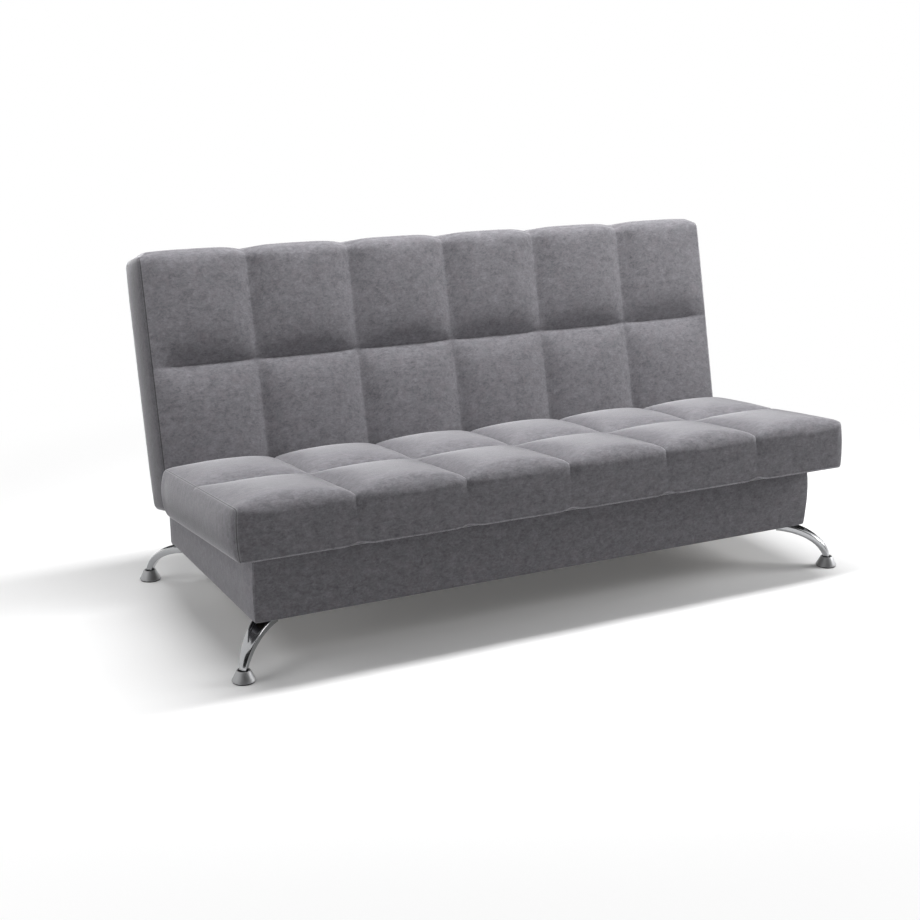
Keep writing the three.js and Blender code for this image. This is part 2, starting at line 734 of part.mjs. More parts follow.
function addSeat(group) {
  const near = -seatRearGap - seatDepth;
  const far = -seatRearGap;
  const under = -seatThickness;
  const railUnder = under + coverThickness + touch;
  const railTop = railUnder + railHeight;
  const slatUnder = railTop + touch;
  const frameNear = near + seatWall;
  const frameFar = far - seatWall;
  const outside = seatPlateOuter;
  const room = outside + pocketRoom;
  const stuffing = cushion({
    y0: near,
    y1: far,
    seam: -seatSeamAhead,
    thickness: seatThickness,
    crown: seatCrown,
    valley: seatValley,
    nearBulge: seatFrontBulge,
    farBulge: seatRearBulge,
    nearRound: seatEdgeRound,
    farRound: seatEdgeRound,
    nearHeel: seatEdgeRound,
    farHeel: seatEdgeRound,
  });
  const pocket = block(
    [-room, frameNear - pocketRoom, under - overrun],
    [room, frameFar + pocketRoom, slatUnder + slatThickness + touch],
  );
  addMesh(group, "seat_cushion", cut(stuffing, pocket), fabric);
  addMesh(group, "seat_frame", frameOf(outside, frameNear, frameFar, railUnder, railTop), steel);
  addSlats(group, "seat_slat", outside - railWidth, frameNear, frameFar, slatUnder);
  const underCover = block(
    [touch - room, frameNear - pocketRoom + touch, under],
    [room - touch, frameFar + pocketRoom - touch, under + coverThickness],
  );
  addMesh(group, "seat_under_cover", underCover, lining);

  const leafTop = under - touch;
  const webFar = rearPin + bracketNose;
  const webShape = roundedShape([
    [frontPin - bracketNose, pinLevel - bracketHalfWidth, bracketRound],
    [webFar, pinLevel - bracketHalfWidth],
    [webFar, leafTop],
    [frontPin - bracketNose, leafTop],
  ]);
  const web = sideways(webShape, seatPlateInner, seatPlateOuter);
  const leafNear = frontPin - bracketNose;
  const leaf = block(
    [seatPlateInner - leafWidth, leafNear, leafTop - bracketThickness],
    [seatPlateOuter, webFar, leafTop],
  );
  const neckTurn = [-seatRearGap / 2, pinLevel];
  const neckLine = [rearPinInSeat, neckTurn, foldInSeat];
  const neck = flatBar(neckLine, bracketHalfWidth, seatPlateInner, seatPlateOuter);
  // The ratchet: a raised sector with a notch for each stop, steep on one side and ramped on the other.
  const rim = hubRadius + toothHeight;
  const sectorTop = radians(pawlHeading + sectorRunOn);
  const sectorEnd = radians(pawlHeading - foldSweep - sectorRunOn);
  const ratchet = new THREE.Shape();
  ratchet.absarc(...foldInSeat, rim, sectorEnd, sectorTop);
  ratchet.absarc(...foldInSeat, hubRadius, sectorTop, sectorEnd + 2 * Math.PI);
  const notchShape = roundedShape([
    [hubRadius, -toothWidth / 2],
    [rim + overrun, -toothWidth / 2],
    [rim + overrun, toothWidth / 2 + toothRamp],
    [rim, toothWidth / 2 + toothRamp],
    [hubRadius, toothWidth / 2],
  ]);
  const notches = [0, reclineStop, foldSweep].map((turn) =>
    sideways(notchShape, seatPlateInner - overrun, seatPlateOuter + overrun)
      .rotateX(radians(pawlHeading - turn))
      .translate(0, ...foldInSeat),
  );
  const toothed = cut(sideways(ratchet, seatPlateInner, seatPlateOuter, 16), ...notches);
  const plateMiddle = middleOf(seatPlateInner, seatPlateOuter);
  const frontStud = headedPin(frontPinInSeat, pinRadius, plateMiddle, linkOuter + endFloat);
  const foldStud = headedPin(foldInSeat, hubPinRadius, plateMiddle, backPlateInner - endFloat);
  addPair(group, "seat_bracket", joined(web, leaf, neck, toothed, frontStud, foldStud), zinc);
}

// A wound spring that stands on a height, its axis along z. Its least gap to itself is measured on points.
function coilSpring(x, y, z0) {
  const steps = 8;
  const sides = 5;
  const rings = [];
  for (let i = 0; i <= springCoils * steps; i++) {
    const angle = (2 * Math.PI * i) / steps;
    const out = new THREE.Vector3(Math.cos(angle), Math.sin(angle), 0);
    const up = new THREE.Vector3(0, 0, 1);
    const centre = out.clone().multiplyScalar(springRadius);
    centre.z = z0 + springWire / 2 + (springPitch * i) / steps;
    rings.push(
      Array.from({ length: sides }, (_, k) => {
        const around = (-2 * Math.PI * k) / sides;
        return centre
          .clone()
          .addScaledVector(out, (springWire / 2) * Math.cos(around))
          .addScaledVector(up, (springWire / 2) * Math.sin(around));
      }),
    );
  }
  let leastGap = Infinity;
  for (let i = 0; i < rings.length; i++) {
    for (let k = i + steps / 2; k < rings.length; k++) {
      for (const p of rings[i]) {
        for (const q of rings[k]) leastGap = Math.min(leastGap, p.distanceTo(q));
      }
    }
  }
  console.log("pawl spring, least gap to itself: " + leastGap.toFixed(2) + " mm");
  return ringSkin(rings).translate(x, y, 0);
}

function addBack(group) {
  const low = -backTail;
  const high = backLength - backTail;
  const railRear = backThickness - coverThickness - touch;
  const railFront = railRear - railHeight;
  const slatRear = railFront - touch;
  const outside = backPlateOuter + touch + railWidth;
  const room = outside + pocketRoom;
  const stuffing = cushion({
    y0: low,
    y1: high,
    seam: backSeamHeight,
    thickness: backThickness,
    crown: backCrown,
    valley: backValley,
    nearBulge: 0,
    farBulge: backTopBulge,
    nearRound: backTailRound,
    farRound: backTopRound,
    nearHeel: backRearRound,
    farHeel: backTopRound,
  }).rotateX(Math.PI / 2);
  const pocketFront = slatRear - slatThickness - touch;
  const pocket = block(
    [-room, pocketFront, backFrameStart - pocketRoom],
    [room, backThickness + overrun, backFrameEnd + pocketRoom],
  );
  const [foldN, foldV] = foldInBack;
  const slotInner = backPlateInner - layerGap - slotOver;
  const slotOuter = seatPlateOuter + slotOver;
  const swing = hubRadius + toothHeight + slotOver;
  const slot = joined(
    block([slotInner, tailSkin, low - overrun], [slotOuter, backThickness + overrun, foldV + swing]),
    block([slotInner, pocketFront, foldV], [slotOuter, backThickness - coverThickness, backFrameStart]),
  );
  addMesh(group, "back_cushion", cut(stuffing, pocket, slot, mirrored(slot)), fabric);

  // The frame is drawn flat with its cross rails uppermost, then stood up behind the slats.
  const frame = frameOf(outside, backFrameStart, backFrameEnd, -railRear, -railFront).rotateX(Math.PI / 2);
  addMesh(group, "back_frame", frame, steel);
  const slats = new THREE.Group();
  slats.rotation.x = Math.PI / 2;
  group.add(slats);
  addSlats(slats, "back_slat", outside - railWidth, backFrameStart, backFrameEnd, -slatRear);
  const rearCover = block(
    [touch - room, backThickness - coverThickness, backFrameStart - pocketRoom + touch],
    [room - touch, backThickness, backFrameEnd + pocketRoom - touch],
  );
  addMesh(group, "back_rear_cover", rearCover, fabric);

  const stripLine = railFront + crossRailThickness + touch + backStripHalfWidth;
  const bend = [stripLine, foldV + stripLine - foldN];
  const stripTop = [stripLine, backFrameStart + backStripLength];
  const strip = flatBar([foldInBack, bend, stripTop], backStripHalfWidth, backPlateInner, backPlateOuter);
  const boss = disc(foldInBack, hubRadius, backPlateInner, backPlateOuter, 32);
  const drilled = cut(joined(strip, boss), hole(foldInBack, hubPinRadius, backPlateInner, backPlateOuter));
  const plateMiddle = middleOf(backPlateInner, backPlateOuter);
  const heading = headingTo(foldInBack, bend);
  const pawlPivot = around(foldInBack, heading, pawlReach);
  const springStud = [stripLine, backFrameStart - pinRadius - springStudRadius];
  const pawlStud = headedPin(pawlPivot, springStudRadius, plateMiddle, seatPlateOuter + endFloat);
  const hook = disc(springStud, springStudRadius, plateMiddle, seatPlateOuter + endFloat);
  addPair(group, "back_bracket", joined(drilled, pawlStud, hook), zinc);

  const springLength = springCoils * springPitch + springWire;
  const springLow = springStud[1] - springStudRadius - touch - springLength;
  const nose = around(foldInBack, heading, hubRadius + toothHeight + toothRelief + pawlNose);
  const tail = [stripLine, springLow - touch - pawlNose];
  const pawl = joined(
    sideways(capsuleShape(nose, pawlPivot, pawlNose), seatPlateInner, seatPlateOuter),
    disc(pawlPivot, pawlRadius, backPlateOuter + touch, seatPlateOuter),
    sideways(capsuleShape(pawlPivot, tail, pawlNose), seatPlateInner, seatPlateOuter),
  );
  const studHole = hole(pawlPivot, springStudRadius, backPlateOuter, seatPlateOuter);
  addPair(group, "pawl", cut(pawl, studHole), steel);
  const spring = coilSpring(middleOf(seatPlateInner, seatPlateOuter), stripLine, springLow);
  addPair(group, "pawl_spring", spring, zinc);
}

const sofa = new THREE.Group();
const boxGroup = new THREE.Group();
const carrier = new THREE.Group();
const frontLinks = new THREE.Group();
const rearLinks = new THREE.Group();
const seat = new THREE.Group();
const back = new THREE.Group();
sofa.add(boxGroup, carrier, frontLinks, rearLinks, seat, back);
seat.position.set(0, ...crease);
seat.rotation.x = -radians(seatSlope);
back.position.set(0, ...crease);
back.rotation.x = -radians(backLean);
addStorageBox(boxGroup);
addLegs(boxGroup);
addLiftGear(boxGroup, carrier);
addLinks(frontLinks, rearLinks);
addSeat(seat);
addBack(back);

// The origin is the middle of the floor under the whole sofa.
sofa.updateMatrixWorld(true);
const extent = new THREE.Box3().setFromObject(sofa, true);
const centre = extent.getCenter(new THREE.Vector3());
sofa.position.set(-centre.x, -centre.y, -extent.min.z);
const group = new THREE.Group();
group.add(sofa);

// Turning axes, all along X, and how far each part turns as the bed opens.
const placed = ([y, z]) => [0, y - centre.y, z - extent.min.z];
const degrees = THREE.MathUtils.radToDeg;
const rearSweep = headingTo(rearPivot, rearPinAt(1)) - headingTo(rearPivot, rearPinAtRest);
group.userData = {
  storageLift: { at: placed(liftPivot) },
  frontLinks: { at: placed(frontPivot), sweep: degrees(linkSweep) },
  rearLinks: { at: placed(rearPivot), sweep: degrees(rearSweep) },
  seat: { at: placed(frontPinAtRest), sweep: seatSlope - degrees(linkSweep) },
  back: { at: placed(fromSeat(foldInSeat)), sweep: -foldSweep },
};

export default group;
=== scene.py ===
import json
import math

import bpy
import numpy as np
from mathutils import Matrix, Vector
from mathutils.kdtree import KDTree


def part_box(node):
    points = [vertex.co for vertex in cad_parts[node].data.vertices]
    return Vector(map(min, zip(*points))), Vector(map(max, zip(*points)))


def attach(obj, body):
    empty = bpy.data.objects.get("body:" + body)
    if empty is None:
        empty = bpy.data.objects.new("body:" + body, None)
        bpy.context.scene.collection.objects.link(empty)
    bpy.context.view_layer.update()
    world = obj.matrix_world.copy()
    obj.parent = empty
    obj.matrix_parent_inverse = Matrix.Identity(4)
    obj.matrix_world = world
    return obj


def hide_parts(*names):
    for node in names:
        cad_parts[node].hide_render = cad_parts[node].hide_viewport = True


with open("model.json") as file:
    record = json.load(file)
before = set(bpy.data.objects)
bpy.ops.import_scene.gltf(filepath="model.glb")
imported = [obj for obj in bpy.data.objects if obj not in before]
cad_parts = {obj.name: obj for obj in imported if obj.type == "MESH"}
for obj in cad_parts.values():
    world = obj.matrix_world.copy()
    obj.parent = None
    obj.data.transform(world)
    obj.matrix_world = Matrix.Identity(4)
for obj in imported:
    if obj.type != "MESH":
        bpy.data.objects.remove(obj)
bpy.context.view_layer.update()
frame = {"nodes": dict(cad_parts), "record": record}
print("frame loaded:", len(frame["nodes"]), "CAD nodes")

# places shared with the CAD part
place = {
    "crease": (0.0, 0.558 - 0.372814, 0.409),  # where the seat's and the back's surfaces meet
    "seatSlope": 4.75,  # degrees down to the rear
    "backLean": 13.07,  # degrees from upright
    "frontFace": -0.372814,  # y of the box's front
}


def seatToRoom():
    return Matrix.Translation(place["crease"]) @ Matrix.Rotation(-math.radians(place["seatSlope"]), 4, "X")


def backToRoom():  # the back is shaped lying down, face up
    turn = Matrix.Rotation(math.radians(90 - place["backLean"]), 4, "X")
    return Matrix.Translation(place["crease"]) @ turn


# small helpers for modelling
def clearSelection():
    if bpy.context.object and bpy.context.object.mode != "OBJECT":
        bpy.ops.object.mode_set(mode="OBJECT")
    bpy.ops.object.select_all(action="DESELECT")


def makeActive(piece):
    clearSelection()
    piece.select_set(True)
    bpy.context.view_layer.objects.active = piece


def addCube(name, low, high):
    clearSelection()
    middle = [(a + b) / 2 for a, b in zip(low, high)]
    bpy.ops.mesh.primitive_cube_add(size=1, location=middle)
    piece = bpy.context.object
    piece.name = name
    piece.data.name = name
    piece.scale = [b - a for a, b in zip(low, high)]
    bpy.ops.object.transform_apply(location=True, rotation=True, scale=True)
    return piece


def addCylinder(name, radius, low, high, sides):
    clearSelection()
    where = (0, 0, (low + high) / 2)
    bpy.ops.mesh.primitive_cylinder_add(vertices=sides, radius=radius, depth=high - low, location=where)
    piece = bpy.context.object
    piece.name = name
    piece.data.name = name
    bpy.ops.object.transform_apply(location=True, rotation=True, scale=True)
    return piece


def selectEdges(piece, wanted):  # wanted(a, b) gets the two ends of an edge
    bpy.ops.object.mode_set(mode="EDIT")
    bpy.ops.mesh.select_mode(type="EDGE")
    bpy.ops.mesh.select_all(action="DESELECT")
    bpy.ops.object.mode_set(mode="OBJECT")
    points = piece.data.vertices
    for edge in piece.data.edges:
        edge.select = bool(wanted(points[edge.vertices[0]].co, points[edge.vertices[1]].co))
    bpy.ops.object.mode_set(mode="EDIT")


def selectFaces(piece, wanted):  # wanted(centre, normal)
    bpy.ops.object.mode_set(mode="EDIT")
    bpy.ops.mesh.select_mode(type="FACE")
    bpy.ops.mesh.select_all(action="DESELECT")
    bpy.ops.object.mode_set(mode="OBJECT")
    for face in piece.data.polygons:
        face.select = bool(wanted(face.center, face.normal))
    bpy.ops.object.mode_set(mode="EDIT")


def splitAlong(piece, axis, cuts):  # cuts every edge that runs along one axis
    if cuts < 1:
        return
    others = [k for k in range(3) if k != axis]
    selectEdges(piece, lambda a, b: all(abs(a[k] - b[k]) < 1e-4 for k in others))
    bpy.ops.mesh.subdivide(number_cuts=cuts)
    bpy.ops.object.mode_set(mode="OBJECT")


def pointsOf(piece):
    flat = np.empty(len(piece.data.vertices) * 3)
    piece.data.vertices.foreach_get("co", flat)
    return flat.reshape(-1, 3)


def setPoints(piece, points):
    piece.data.vertices.foreach_set("co", np.asarray(points, dtype=float).ravel())
    piece.data.update()


def normalsOf(piece):
    flat = np.empty(len(piece.data.vertices) * 3)
    piece.data.vertex_normals.foreach_get("vector", flat)
    return flat.reshape(-1, 3)


def applyAll(piece):
    makeActive(piece)
    for modifier in list(piece.modifiers):
        bpy.ops.object.modifier_apply(modifier=modifier.name)


def cutAway(piece, tool):
    makeActive(piece)
    modifier = piece.modifiers.new("cut", "BOOLEAN")
    modifier.operation = "DIFFERENCE"
    modifier.solver = "EXACT"
    modifier.object = tool
    bpy.ops.object.modifier_apply(modifier=modifier.name)
    bpy.data.objects.remove(tool)


def roundEdges(piece, width, segments, wanted):
    makeActive(piece)
    selectEdges(piece, wanted)
    bpy.ops.mesh.bevel(offset=width, segments=segments, profile=0.5)
    bpy.ops.object.mode_set(mode="OBJECT")


def smoothByAngle(piece, degrees):
    makeActive(piece)
    bpy.ops.object.shade_smooth_by_angle(angle=math.radians(degrees))


def copyOf(piece, name, matrix):
    twin = piece.copy()
    twin.data = piece.data.copy()
    twin.name = name
    twin.data.name = name
    bpy.context.scene.collection.objects.link(twin)
    twin.data.transform(matrix)
    return twin


def finishPiece(piece, material, body, slotName, *nodes):
    piece.data.materials.clear()
    piece.data.materials.append(material)
    for face in piece.data.polygons:
        face.material_index = 0
    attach(piece, body)
    if nodes:
        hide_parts(*nodes)


# shader maths: a wire is a node's output that takes part in Python sums
class Wire:
    def __init__(self, finish, socket):
        self.finish = finish
        self.socket = socket

    def reckon(self, operation, *values):
        return self.finish.node("ShaderNodeMath", {"operation": operation}, list(values))["Value"]

    def __add__(self, other):
        return self.reckon("ADD", self, other)

    def __radd__(self, other):
        return self.reckon("ADD", other, self)

    def __sub__(self, other):
        return self.reckon("SUBTRACT", self, other)

    def __rsub__(self, other):
        return self.reckon("SUBTRACT", other, self)

    def __mul__(self, other):
        return self.reckon("MULTIPLY", self, other)

    def __rmul__(self, other):
        return self.reckon("MULTIPLY", other, self)

    def __truediv__(self, other):
        return self.reckon("DIVIDE", self, other)

    def __pow__(self, other):
        return self.reckon("POWER", self, other)

    def __abs__(self):
        return self.reckon("ABSOLUTE", self)

    def fraction(self):
        return self.reckon("FRACT", self)

    def atMost(self, other):
        return self.reckon("MINIMUM", self, other)

    def atLeast(self, other):
        return self.reckon("MAXIMUM", self, other)

    def clamped(self):
        return self.atLeast(0.0).atMost(1.0)

    def fade(self, near, far):  # 1 up to near, 0 from far on, smooth between
        settings = {"interpolation_type": "SMOOTHSTEP"}
        values = {"Value": self, "From Min": near, "From Max": far, "To Min": 1.0, "To Max": 0.0}
        return self.finish.node("ShaderNodeMapRange", settings, values)["Result"]


class Outlets:
    def __init__(self, finish, node):
        self.finish = finish
        self.node = node

    def __getitem__(self, key):  # a name, or a number where names repeat
        return Wire(self.finish, self.node.outputs[key])


class Finish:  # a material's nodes, or the world's
    def __init__(self, name, world=None):
        self.material = world or bpy.data.materials.new(name)
        self.material.use_nodes = True
        self.tree = self.material.node_tree
        self.tree.nodes.clear()

    def node(self, kind, settings=None, values=None):
        node = self.tree.nodes.new(kind)
        for key, value in (settings or {}).items():
            setattr(node, key, value)
        pairs = enumerate(values) if isinstance(values, list) else (values or {}).items()
        for key, value in pairs:
            socket = node.inputs[key]
            if isinstance(value, Wire):
                self.tree.links.new(value.socket, socket)
            else:
                socket.default_value = value
        return Outlets(self, node)

    def coordinates(self):
        return self.node("ShaderNodeTexCoord")["Object"]

    def noise(self, where, scale, detail=2.0, roughness=0.5, distortion=0.0):
        values = {"Vector": where, "Scale": scale, "Detail": detail, "Roughness": roughness,
                  "Distortion": distortion}
        return self.node("ShaderNodeTexNoise", None, values)["Fac"]

    def stretched(self, where, scale, turn=(0, 0, 0)):
        values = {"Vector": where, "Scale": scale, "Rotation": turn}
        return self.node("ShaderNodeMapping", None, values)["Vector"]

    def mixColour(self, share, a, b, blend="MIX"):
        settings = {"data_type": "RGBA", "blend_type": blend}
        return self.node("ShaderNodeMix", settings, {0: share, 6: a, 7: b})[2]

    def bump(self, height, distance, strength=1.0, normal=None):
        values = {"Height": height, "Distance": distance, "Strength": strength}
        if normal is not None:
            values["Normal"] = normal
        return self.node("ShaderNodeBump", None, values)["Normal"]

    def surface(self, values):
        shader = self.node("ShaderNodeBsdfPrincipled", None, values)["BSDF"]
        self.node("ShaderNodeOutputMaterial", None, {"Surface": shader})
        return self.material


def rgba(value):
    return (value[0], value[1], value[2], 1.0)


# upholstery fabric
velour = {
    "dark": (0.104, 0.1015, 0.1105),
    "light": (0.238, 0.2315, 0.250),
    "warm": (0.205, 0.182, 0.197),
    "cool": (0.160, 0.170, 0.180),
    "warmPatches": 26.0, "coolPatches": 31.0,  # per metre
    "coolTurn": (0.4, 1.1, 0.7),  # so that they don't lie on the warm ones
    "patchContrast": 3.0, "patches": 0.5,
    "blotchSize": 0.024,  # metres, the largest of the mottling
    "blotches": 2.2,  # how strong the mottling is
    "grain": (0.85, 1.6, 1.05),  # how the mottling is squeezed along x, y and z
    "strokes": (90.0, 420.0, 190.0),  # short brushed strokes, per metre
    "brushing": 0.9,
    "pile": 900.0, "pileDepth": 0.0006, "pileStrength": 0.6,
    "inSeam": (0.03, 0.03, 0.032),  # colour of the painted shade down in a seam or fold
    "onLip": (0.42, 0.42, 0.43),  # and the painted highlight on the raised edge beside a seam
    "seamWidth": 0.0022, "lipWidth": 0.00528, "lipHeight": 0.4,
    "seamDepth": 0.0014, "seamStrength": 0.5, "seamShade": 0.6,
    "foldWidth": 0.005, "foldShade": 0.10,
    "roughness": 0.86, "roughBlotches": 0.2, "specular": 0.2,
    "sheen": 1.0, "sheenRoughness": 0.33, "sheenTint": (0.935, 0.93, 0.96),
    "panelBlend": 0.002,  # over which an end panel's painted shade or light sets in
}


# lip sets how strong the painted highlight beside a seam is
def velourFinish(name, sewn=False, creaseDistance=None, lift=1.0, ends=None, lip=0.25):
    finish = Finish(name)
    where = finish.coordinates()
    blotch = finish.noise(finish.stretched(where, velour["grain"]), 1 / velour["blotchSize"], 4.0, 0.95, 0.3)
    brushed = finish.noise(finish.stretched(where, velour["strokes"]), 1.0, 2.0, 0.7)
    warmth = finish.noise(where, velour["warmPatches"], 4.0, 0.8, 0.3)
    turned = finish.stretched(where, (1, 1, 1), velour["coolTurn"])
    chill = finish.noise(turned, velour["coolPatches"], 4.0, 0.8, 0.3)
    pile = finish.noise(where, velour["pile"], 1.0, 0.5)
    share = (blotch - 0.5) * velour["blotches"] + (brushed - 0.5) * velour["brushing"] + 0.5
    dark, light = [rgba([v * lift for v in velour[key]]) for key in ("dark", "light")]
    colour = finish.mixColour(share.clamped(), dark, light)
    for patch, tint in ((warmth, velour["warm"]), (chill, velour["cool"])):
        strength = ((patch - 0.5) * velour["patchContrast"]).clamped() * velour["patches"]
        colour = finish.mixColour(strength, colour, rgba(tint))
    if ends is not None:  # painted shade or light on the end panels: their colour is scaled by a factor for how the light falls there
        endsFrom, shade = ends
        across = finish.node("ShaderNodeSeparateXYZ", None, {"Vector": where})["X"]
        panelShadeShare = 1.0 - abs(across).fade(endsFrom - velour["panelBlend"], endsFrom + velour["panelBlend"])
        shaded = finish.mixColour(1.0, colour, rgba([shade] * 3), "MULTIPLY")
        colour = finish.mixColour(panelShadeShare, colour, shaded)
    normal = finish.bump(pile * 0.3 + blotch * 0.7, velour["pileDepth"], velour["pileStrength"])
    inSeam = rgba(velour["inSeam"])
    if creaseDistance is not None:  # a fold's own shadow
        crease = creaseDistance(finish, where).fade(0.0, velour["foldWidth"])
        colour = finish.mixColour(crease * velour["foldShade"], colour, inSeam)
    if sewn:  # the mesh knows how far each point is from a seam
        distance = finish.node("ShaderNodeAttribute", {"attribute_name": "seamWay"})["Fac"]
        groove = distance.fade(0.0, velour["seamWidth"])
        beside = distance.fade(velour["seamWidth"], velour["lipWidth"]) - groove
        # painted shade down in the seam's groove
        colour = finish.mixColour(groove * velour["seamShade"], colour, inSeam)
        # painted highlight on the raised lip beside the seam
        colour = finish.mixColour(beside.clamped() * lip, colour, rgba(velour["onLip"]))
        profile = 1.0 - groove + beside * velour["lipHeight"]
        normal = finish.bump(profile, velour["seamDepth"], velour["seamStrength"], normal)
    return finish.surface({
        "Base Color": colour, "Roughness": velour["roughness"] + (blotch - 0.5) * velour["roughBlotches"],
        "Normal": normal, "Metallic": 0.0, "Specular IOR Level": velour["specular"],
        "Sheen Weight": velour["sheen"], "Sheen Roughness": velour["sheenRoughness"],
        "Sheen Tint": rgba(velour["sheenTint"]),
    })


# tufted cushions
seatPad = {
    "half": 0.950, "front": -0.632, "rear": -0.015, "split": -0.305, "thick": 0.146,
    "columns": 6, "cellsAcross": 22, "cellsFront": 22, "cellsRear": 20, "cellsHigh": 12,
    "crown": 0.025, "frontCrown": 0.004,  # swell of a pillow, on top and down the open edge
    "columnDepth": 0.009, "rowDepth": 0.008,  # how deep the channels are drawn in
    "columnShape": (2.3, 0.5), "rowShape": (2.3, 0.5),
    "channelDown": 0.06,  # how far down the open edge a channel runs
    "overFront": 0.146, "overRear": 0.0,  # how far a pillow goes on over either edge
    "endValley": 0.004, "endSeam": 0.001,
    "topRound": (0.012, 0.036), "farBulge": 0.0, "farRound": 0.016, "lowRound": 0.012,
    "cornerRound": 0.014, "endOut": 0.004, "sideBulge": 0.020, "rearBulge": 0.8,
    "hemPull": 0.007, "hemReach": 0.022, "hemLift": 0.010, "liftRun": 0.034,
    "columnCrease": 0.9,
    "pressure": 3.2, "reach": 0.010,  # reach: the farthest that inflating moves a point
    "freeDown": 0.055,  # how far down the open edge the cover can swell
    "calm": 0.0,  # by which the far edge swells less
}
backPad = {
    "half": 0.950, "front": -0.131, "rear": 0.597, "split": 0.278, "thick": 0.150,
    "columns": 6, "cellsAcross": 22, "cellsFront": 28, "cellsRear": 22, "cellsHigh": 12,
    "crown": 0.009, "frontCrown": 0.002,
    "columnDepth": 0.012, "rowDepth": 0.021,
    "columnShape": (5.0, 1.3), "rowShape": (4.2, 0.75),
    "channelDown": 0.11,
    "overFront": 0.02, "overRear": 0.150,
    "endValley": 0.002, "endSeam": 0.003,
    "topRound": (0.070, 0.070), "farBulge": 0.008, "farRound": 0.026, "lowRound": 0.026,
    "cornerRound": 0.022, "endOut": 0.0, "sideBulge": 0.013, "rearBulge": 0.0,
    "hemPull": 0.0, "hemReach": 0.02, "hemLift": 0.0, "liftRun": 0.034,
    "columnCrease": 0.25,
    "pressure": 2.6, "reach": 0.008,
    "freeDown": 0.10,
    "calm": 0.75,
}
tufting = {
    "start": 0.75,  # share of the swell that is there before inflating
    "farRun": 0.08,  # width of the far edge's bulge and calm
    "overEdge": 0.045,  # over which the top's crown becomes the edge's
    "endRun": 0.09, "endChannel": 0.15,  # channels run out towards the end panels
    "leastChannel": 0.12,
    "hemFrom": 0.6,  # share of the thickness where the hem's pull sets in
    "endShape": (6.0, 0.5), "endHeight": (2.0, 0.7),
    "foldEnd": 0.1, "foldDown": 0.04,  # the folds' shadows stop there
    "hemEnd": 0.05,  # no pull this near the ends
    "rowCrease": 0.9, "endCrease": 0.8, "lowCrease": 0.5, "edgeCrease": 0.55,
    "seamReach": 0.05,  # the fabric knows seams up to this far off
    "smoothAngle": 50,
}
cloth = {
    "frames": 20, "quality": 6, "mass": 0.25, "tension": 22, "compression": 12, "shear": 8,
    "bending": 1.2, "slack": 0.003, "smoothing": 4,
}


def domed(share, power=2.3, steep=0.5):  # 0 at both ends, 1 in the middle
    return np.clip(1 - np.abs(2 * share - 1) ** power, 0, 1) ** steep


def crowded(share, amount=0.45):  # spacing that is finer at both ends
    return share - amount * np.sin(2 * np.pi * share) / (2 * np.pi)


def roundCorner(p, q, radius):  # a square corner's points go to a quarter disc
    s, t = np.clip(p / radius, 0, 1), np.clip(q / radius, 0, 1)
    both = (s > 0) & (t > 0)
    newP = np.where(both, s * np.sqrt(1 - t * t / 2) * radius, p)
    newQ = np.where(both, t * np.sqrt(1 - s * s / 2) * radius, q)
    return newP, newQ


def roundPair(a, aEdge, aSign, b, bEdge, bSign, radius):
    p = (a - aEdge) * aSign + radius
    q = (b - bEdge) * bSign + radius
    p, q = roundCorner(p, q, radius)
    return aEdge + aSign * (p - radius), bEdge + bSign * (q - radius)


def cushionBlank(name, pad):
    # the block lies face up: x across, y from front (or tail) to rear (or top), z = 0 at the seams
    rows = pad["cellsFront"] + pad["cellsRear"]
    across = pad["columns"] * pad["cellsAcross"]
    high = pad["cellsHigh"]
    piece = addCube(name, (0, 0, 0), (across, rows, high))
    splitAlong(piece, 0, pad["columns"] - 1)
    splitAlong(piece, 0, pad["cellsAcross"] - 1)
    splitAlong(piece, 1, rows - 1)
    splitAlong(piece, 2, high - 1)
    grid = np.rint(pointsOf(piece)).astype(int)
    i, j, k = grid[:, 0], grid[:, 1], grid[:, 2]
    half, near, far, thick = pad["half"], pad["front"], pad["rear"], pad["thick"]
    column, cell = np.divmod(i, pad["cellsAcross"])
    share = crowded(cell / pad["cellsAcross"])
    x = -half + 2 * half * (column + share) / pad["columns"]
    front = crowded(np.clip(j / pad["cellsFront"], 0, 1))
    rear = crowded(np.clip((j - pad["cellsFront"]) / pad["cellsRear"], 0, 1))
    y = near + (pad["split"] - near) * front + (far - pad["split"]) * rear
    z = thick * (crowded(k / high) - 1)
    nearFar = np.clip(1 - (far - y) / tufting["farRun"], 0, 1) ** 2
    y += pad["farBulge"] * nearFar * domed(k / high, 2.0, 1.0)
    tight, loose = pad["topRound"]
    y, z = roundPair(y, near, -1, z, 0.0, 1, tight + (loose - tight) * domed(share))
    y, z = roundPair(y, far, 1, z, 0.0, 1, pad["farRound"])
    y, z = roundPair(y, far, 1, z, -thick, -1, pad["lowRound"])
    for sx in (-1, 1):
        x, y = roundPair(x, sx * half, sx, y, near, -1, pad["cornerRound"])
        x, y = roundPair(x, sx * half, sx, y, far, 1, pad["cornerRound"])
    # the lower edge is drawn up along the front and the ends
    inward = np.minimum(y - near, half - np.abs(x))
    z += pad["hemLift"] * np.clip(1 - inward / pad["liftRun"], 0, 1) * np.clip(-z / thick, 0, 1) ** 2
    setPoints(piece, np.stack([x, y, z], 1))
    return piece, i, j, k, share


